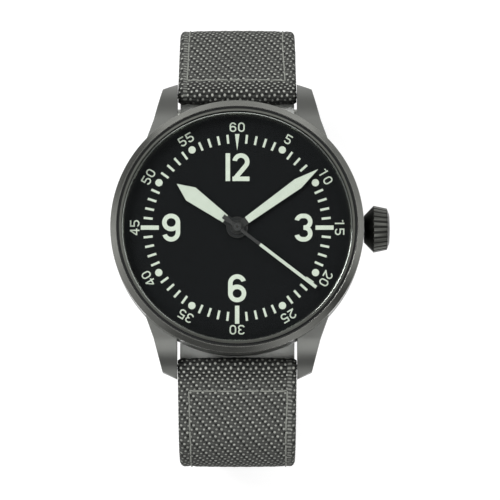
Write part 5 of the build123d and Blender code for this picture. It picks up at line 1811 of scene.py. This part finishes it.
@dataclass
class Keeper:
    """A woven loop that holds the strap's tail: a band bent round a rectangle with round corners."""

    node: str
    name: str
    body: str
    stop: tuple[float, float, float]
    half_width: float
    inner: float
    outer: float
    wall: float = 0.8
    corner: float = 1.3
    columns: int = 20
    column_mm: float = 0.25
    row_mm: float = 0.215
    round_off: float = 0.3
    yarn_height: float = 0.05
    sunk_share: float = 0.75
    seam_mm: float = 0.01
    end_normal: float = 0.9

    def runs(self) -> list[Span]:
        """The loop's middle line, as runs and quarter turns from the middle of its inner side.

        Returns:
            The moves of a route.
        """
        wide = 2 * self.half_width + self.wall - 2 * self.corner
        high = self.outer - self.inner + self.wall - 2 * self.corner
        runs = [(wide / 2, 0.0)]
        for run in (high, wide, high, wide / 2):
            runs += [(self.corner, 90.0), (run, 0.0)]
        return runs

    def build(self) -> None:
        """Makes the loop and hands it over."""
        route = Route(tuple(self.runs()), 1, 0.0, (0.0, self.inner - self.wall / 2))
        length = self.columns * self.column_mm
        band = flat_band(self.name, length, 0.0, route.length, self.columns, round(route.length / self.row_mm))
        x, y, heading = self.stop
        ahead = Vector((0.0, math.cos(math.radians(heading)), math.sin(math.radians(heading))))
        outward = Vector((0.0, -ahead.z, ahead.y))
        places = []
        for vertex, lateral, along, inside in flat_points(band):
            places.append((lateral, along))
            u, v, angle = route.stop(along)
            edge = max(length / 2 - abs(lateral), 0.0)
            height = self.wall / 2 - rounding(edge, self.round_off)
            if not inside:
                if edge >= self.round_off:
                    rise = Finishes.CLOTH_12.value.rise(lateral, along)
                    height += self.yarn_height * (rise - self.sunk_share)
                height = -height
            turn = math.radians(angle)
            place = Vector((u - height * math.sin(turn), 0.0, 0.0)) + outward * (v + height * math.cos(turn))
            vertex.co = (Vector((0.0, x, y)) + place + ahead * lateral) * MM
        map_flat(band, places)
        self.close(band)
        dress(band, Finishes.CLOTH_12)
        hand_over(band, self.body, "strap_weave", self.node)

    def close(self, band: bpy.types.Object) -> None:
        """Joins the band's two ends: their small end faces go, and their edges are merged.

        Args:
            band: The bent band.
        """
        open_mesh(band, "DESELECT")
        bpy.ops.object.mode_set(mode="OBJECT")
        for face in band.data.polygons:
            face.select = abs(face.normal.x) > self.end_normal and abs(face.center.x) < self.seam_mm * MM
        bpy.ops.object.mode_set(mode="EDIT")
        bpy.ops.mesh.delete(type="FACE")
        bpy.ops.mesh.select_all(action="SELECT")
        bpy.ops.mesh.remove_doubles(threshold=self.seam_mm * MM)
        bpy.ops.object.mode_set(mode="OBJECT")
        face_outwards(band)
        smooth(band, 60.0)


@dataclass
class Buckle:
    """The pin buckle: frame, bar and tongue."""

    edge_mm: float = 0.35
    tongue_edge_mm: float = 0.22

    def build(self, nodes: Nodes) -> None:
        """Rounds the frame and the tongue.

        Args:
            nodes: The frame's CAD nodes by name.
        """
        RefinedPart("buckle_frame", "buckle_bow", "buckle", "buckle_metal", Finishes.BUCKLE, self.edge_mm,
                    3).build(nodes)
        RefinedPart("buckle_tongue", "buckle_pin", "tongue", "buckle_metal", Finishes.BUCKLE,
                    self.tongue_edge_mm).build(nodes)
        dress(nodes["buckle_bar"], Finishes.STEEL)


@dataclass
class Strap:
    """Both strap halves with their keepers."""

    short_moves: tuple[Span, ...] = ((11.5, 0.0), (8.0, -50.0), (27.0, 0.0), (16.0, -60.0))
    long_moves: tuple[Span, ...] = ((10.5, 0.0), (9.0, -70.0), (34.2, 0.0), (16.0, -85.0), (26.0, 0.0))
    short_heading: float = -40.0
    long_heading: float = -25.0
    short_seam: float = 2.6
    long_seam: float = 3.8
    long_insets: Span = (1.8, 1.47)
    tip_radius: float = 9.6
    hole_first: float = 20.0
    hole_pitch: float = 6.5
    hole_count: int = 7
    free_height: float = -34.5

    def build(self) -> None:
        """Makes the halves and the two keepers."""
        short = StrapHalf(Half.TWELVE, self.short_moves, self.short_heading, self.short_seam, end_roll=True)
        length = Route(self.long_moves, Half.SIX.value, self.long_heading).length
        holes = tuple(length - self.hole_first - index * self.hole_pitch for index in range(self.hole_count))
        long = StrapHalf(Half.SIX, self.long_moves, self.long_heading, self.long_seam, self.tip_radius,
                         holes=holes, seam_insets=self.long_insets)
        short.build()
        long.build()
        drop, foot = short.route.stops[2:4]
        fixed = Route.step(*foot[1:], *self.short_moves[3], 0.5)
        free = (drop[1], self.free_height, drop[3])
        Keeper("keeper_fixed", "keeper_fixed_loop", "strap_12", fixed, half_width=9.2, inner=-1.55, outer=4.1).build()
        Keeper("keeper_free", "keeper_free_loop", "free_keeper", free, half_width=9.343, inner=-4.1,
               outer=1.5).build()


def main() -> None:
    """Builds the watch's looks from the studio inwards."""
    logging.basicConfig(level=logging.INFO, format="%(name)s: %(message)s")
    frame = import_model()
    nodes = frame["nodes"]
    Studio().build()
    Case().build(nodes)
    Crown().build(nodes)
    DialAndHands().build(nodes)
    Movement().build(nodes)
    Strap().build()
    Buckle().build(nodes)


if __name__ == "__main__":
    main()
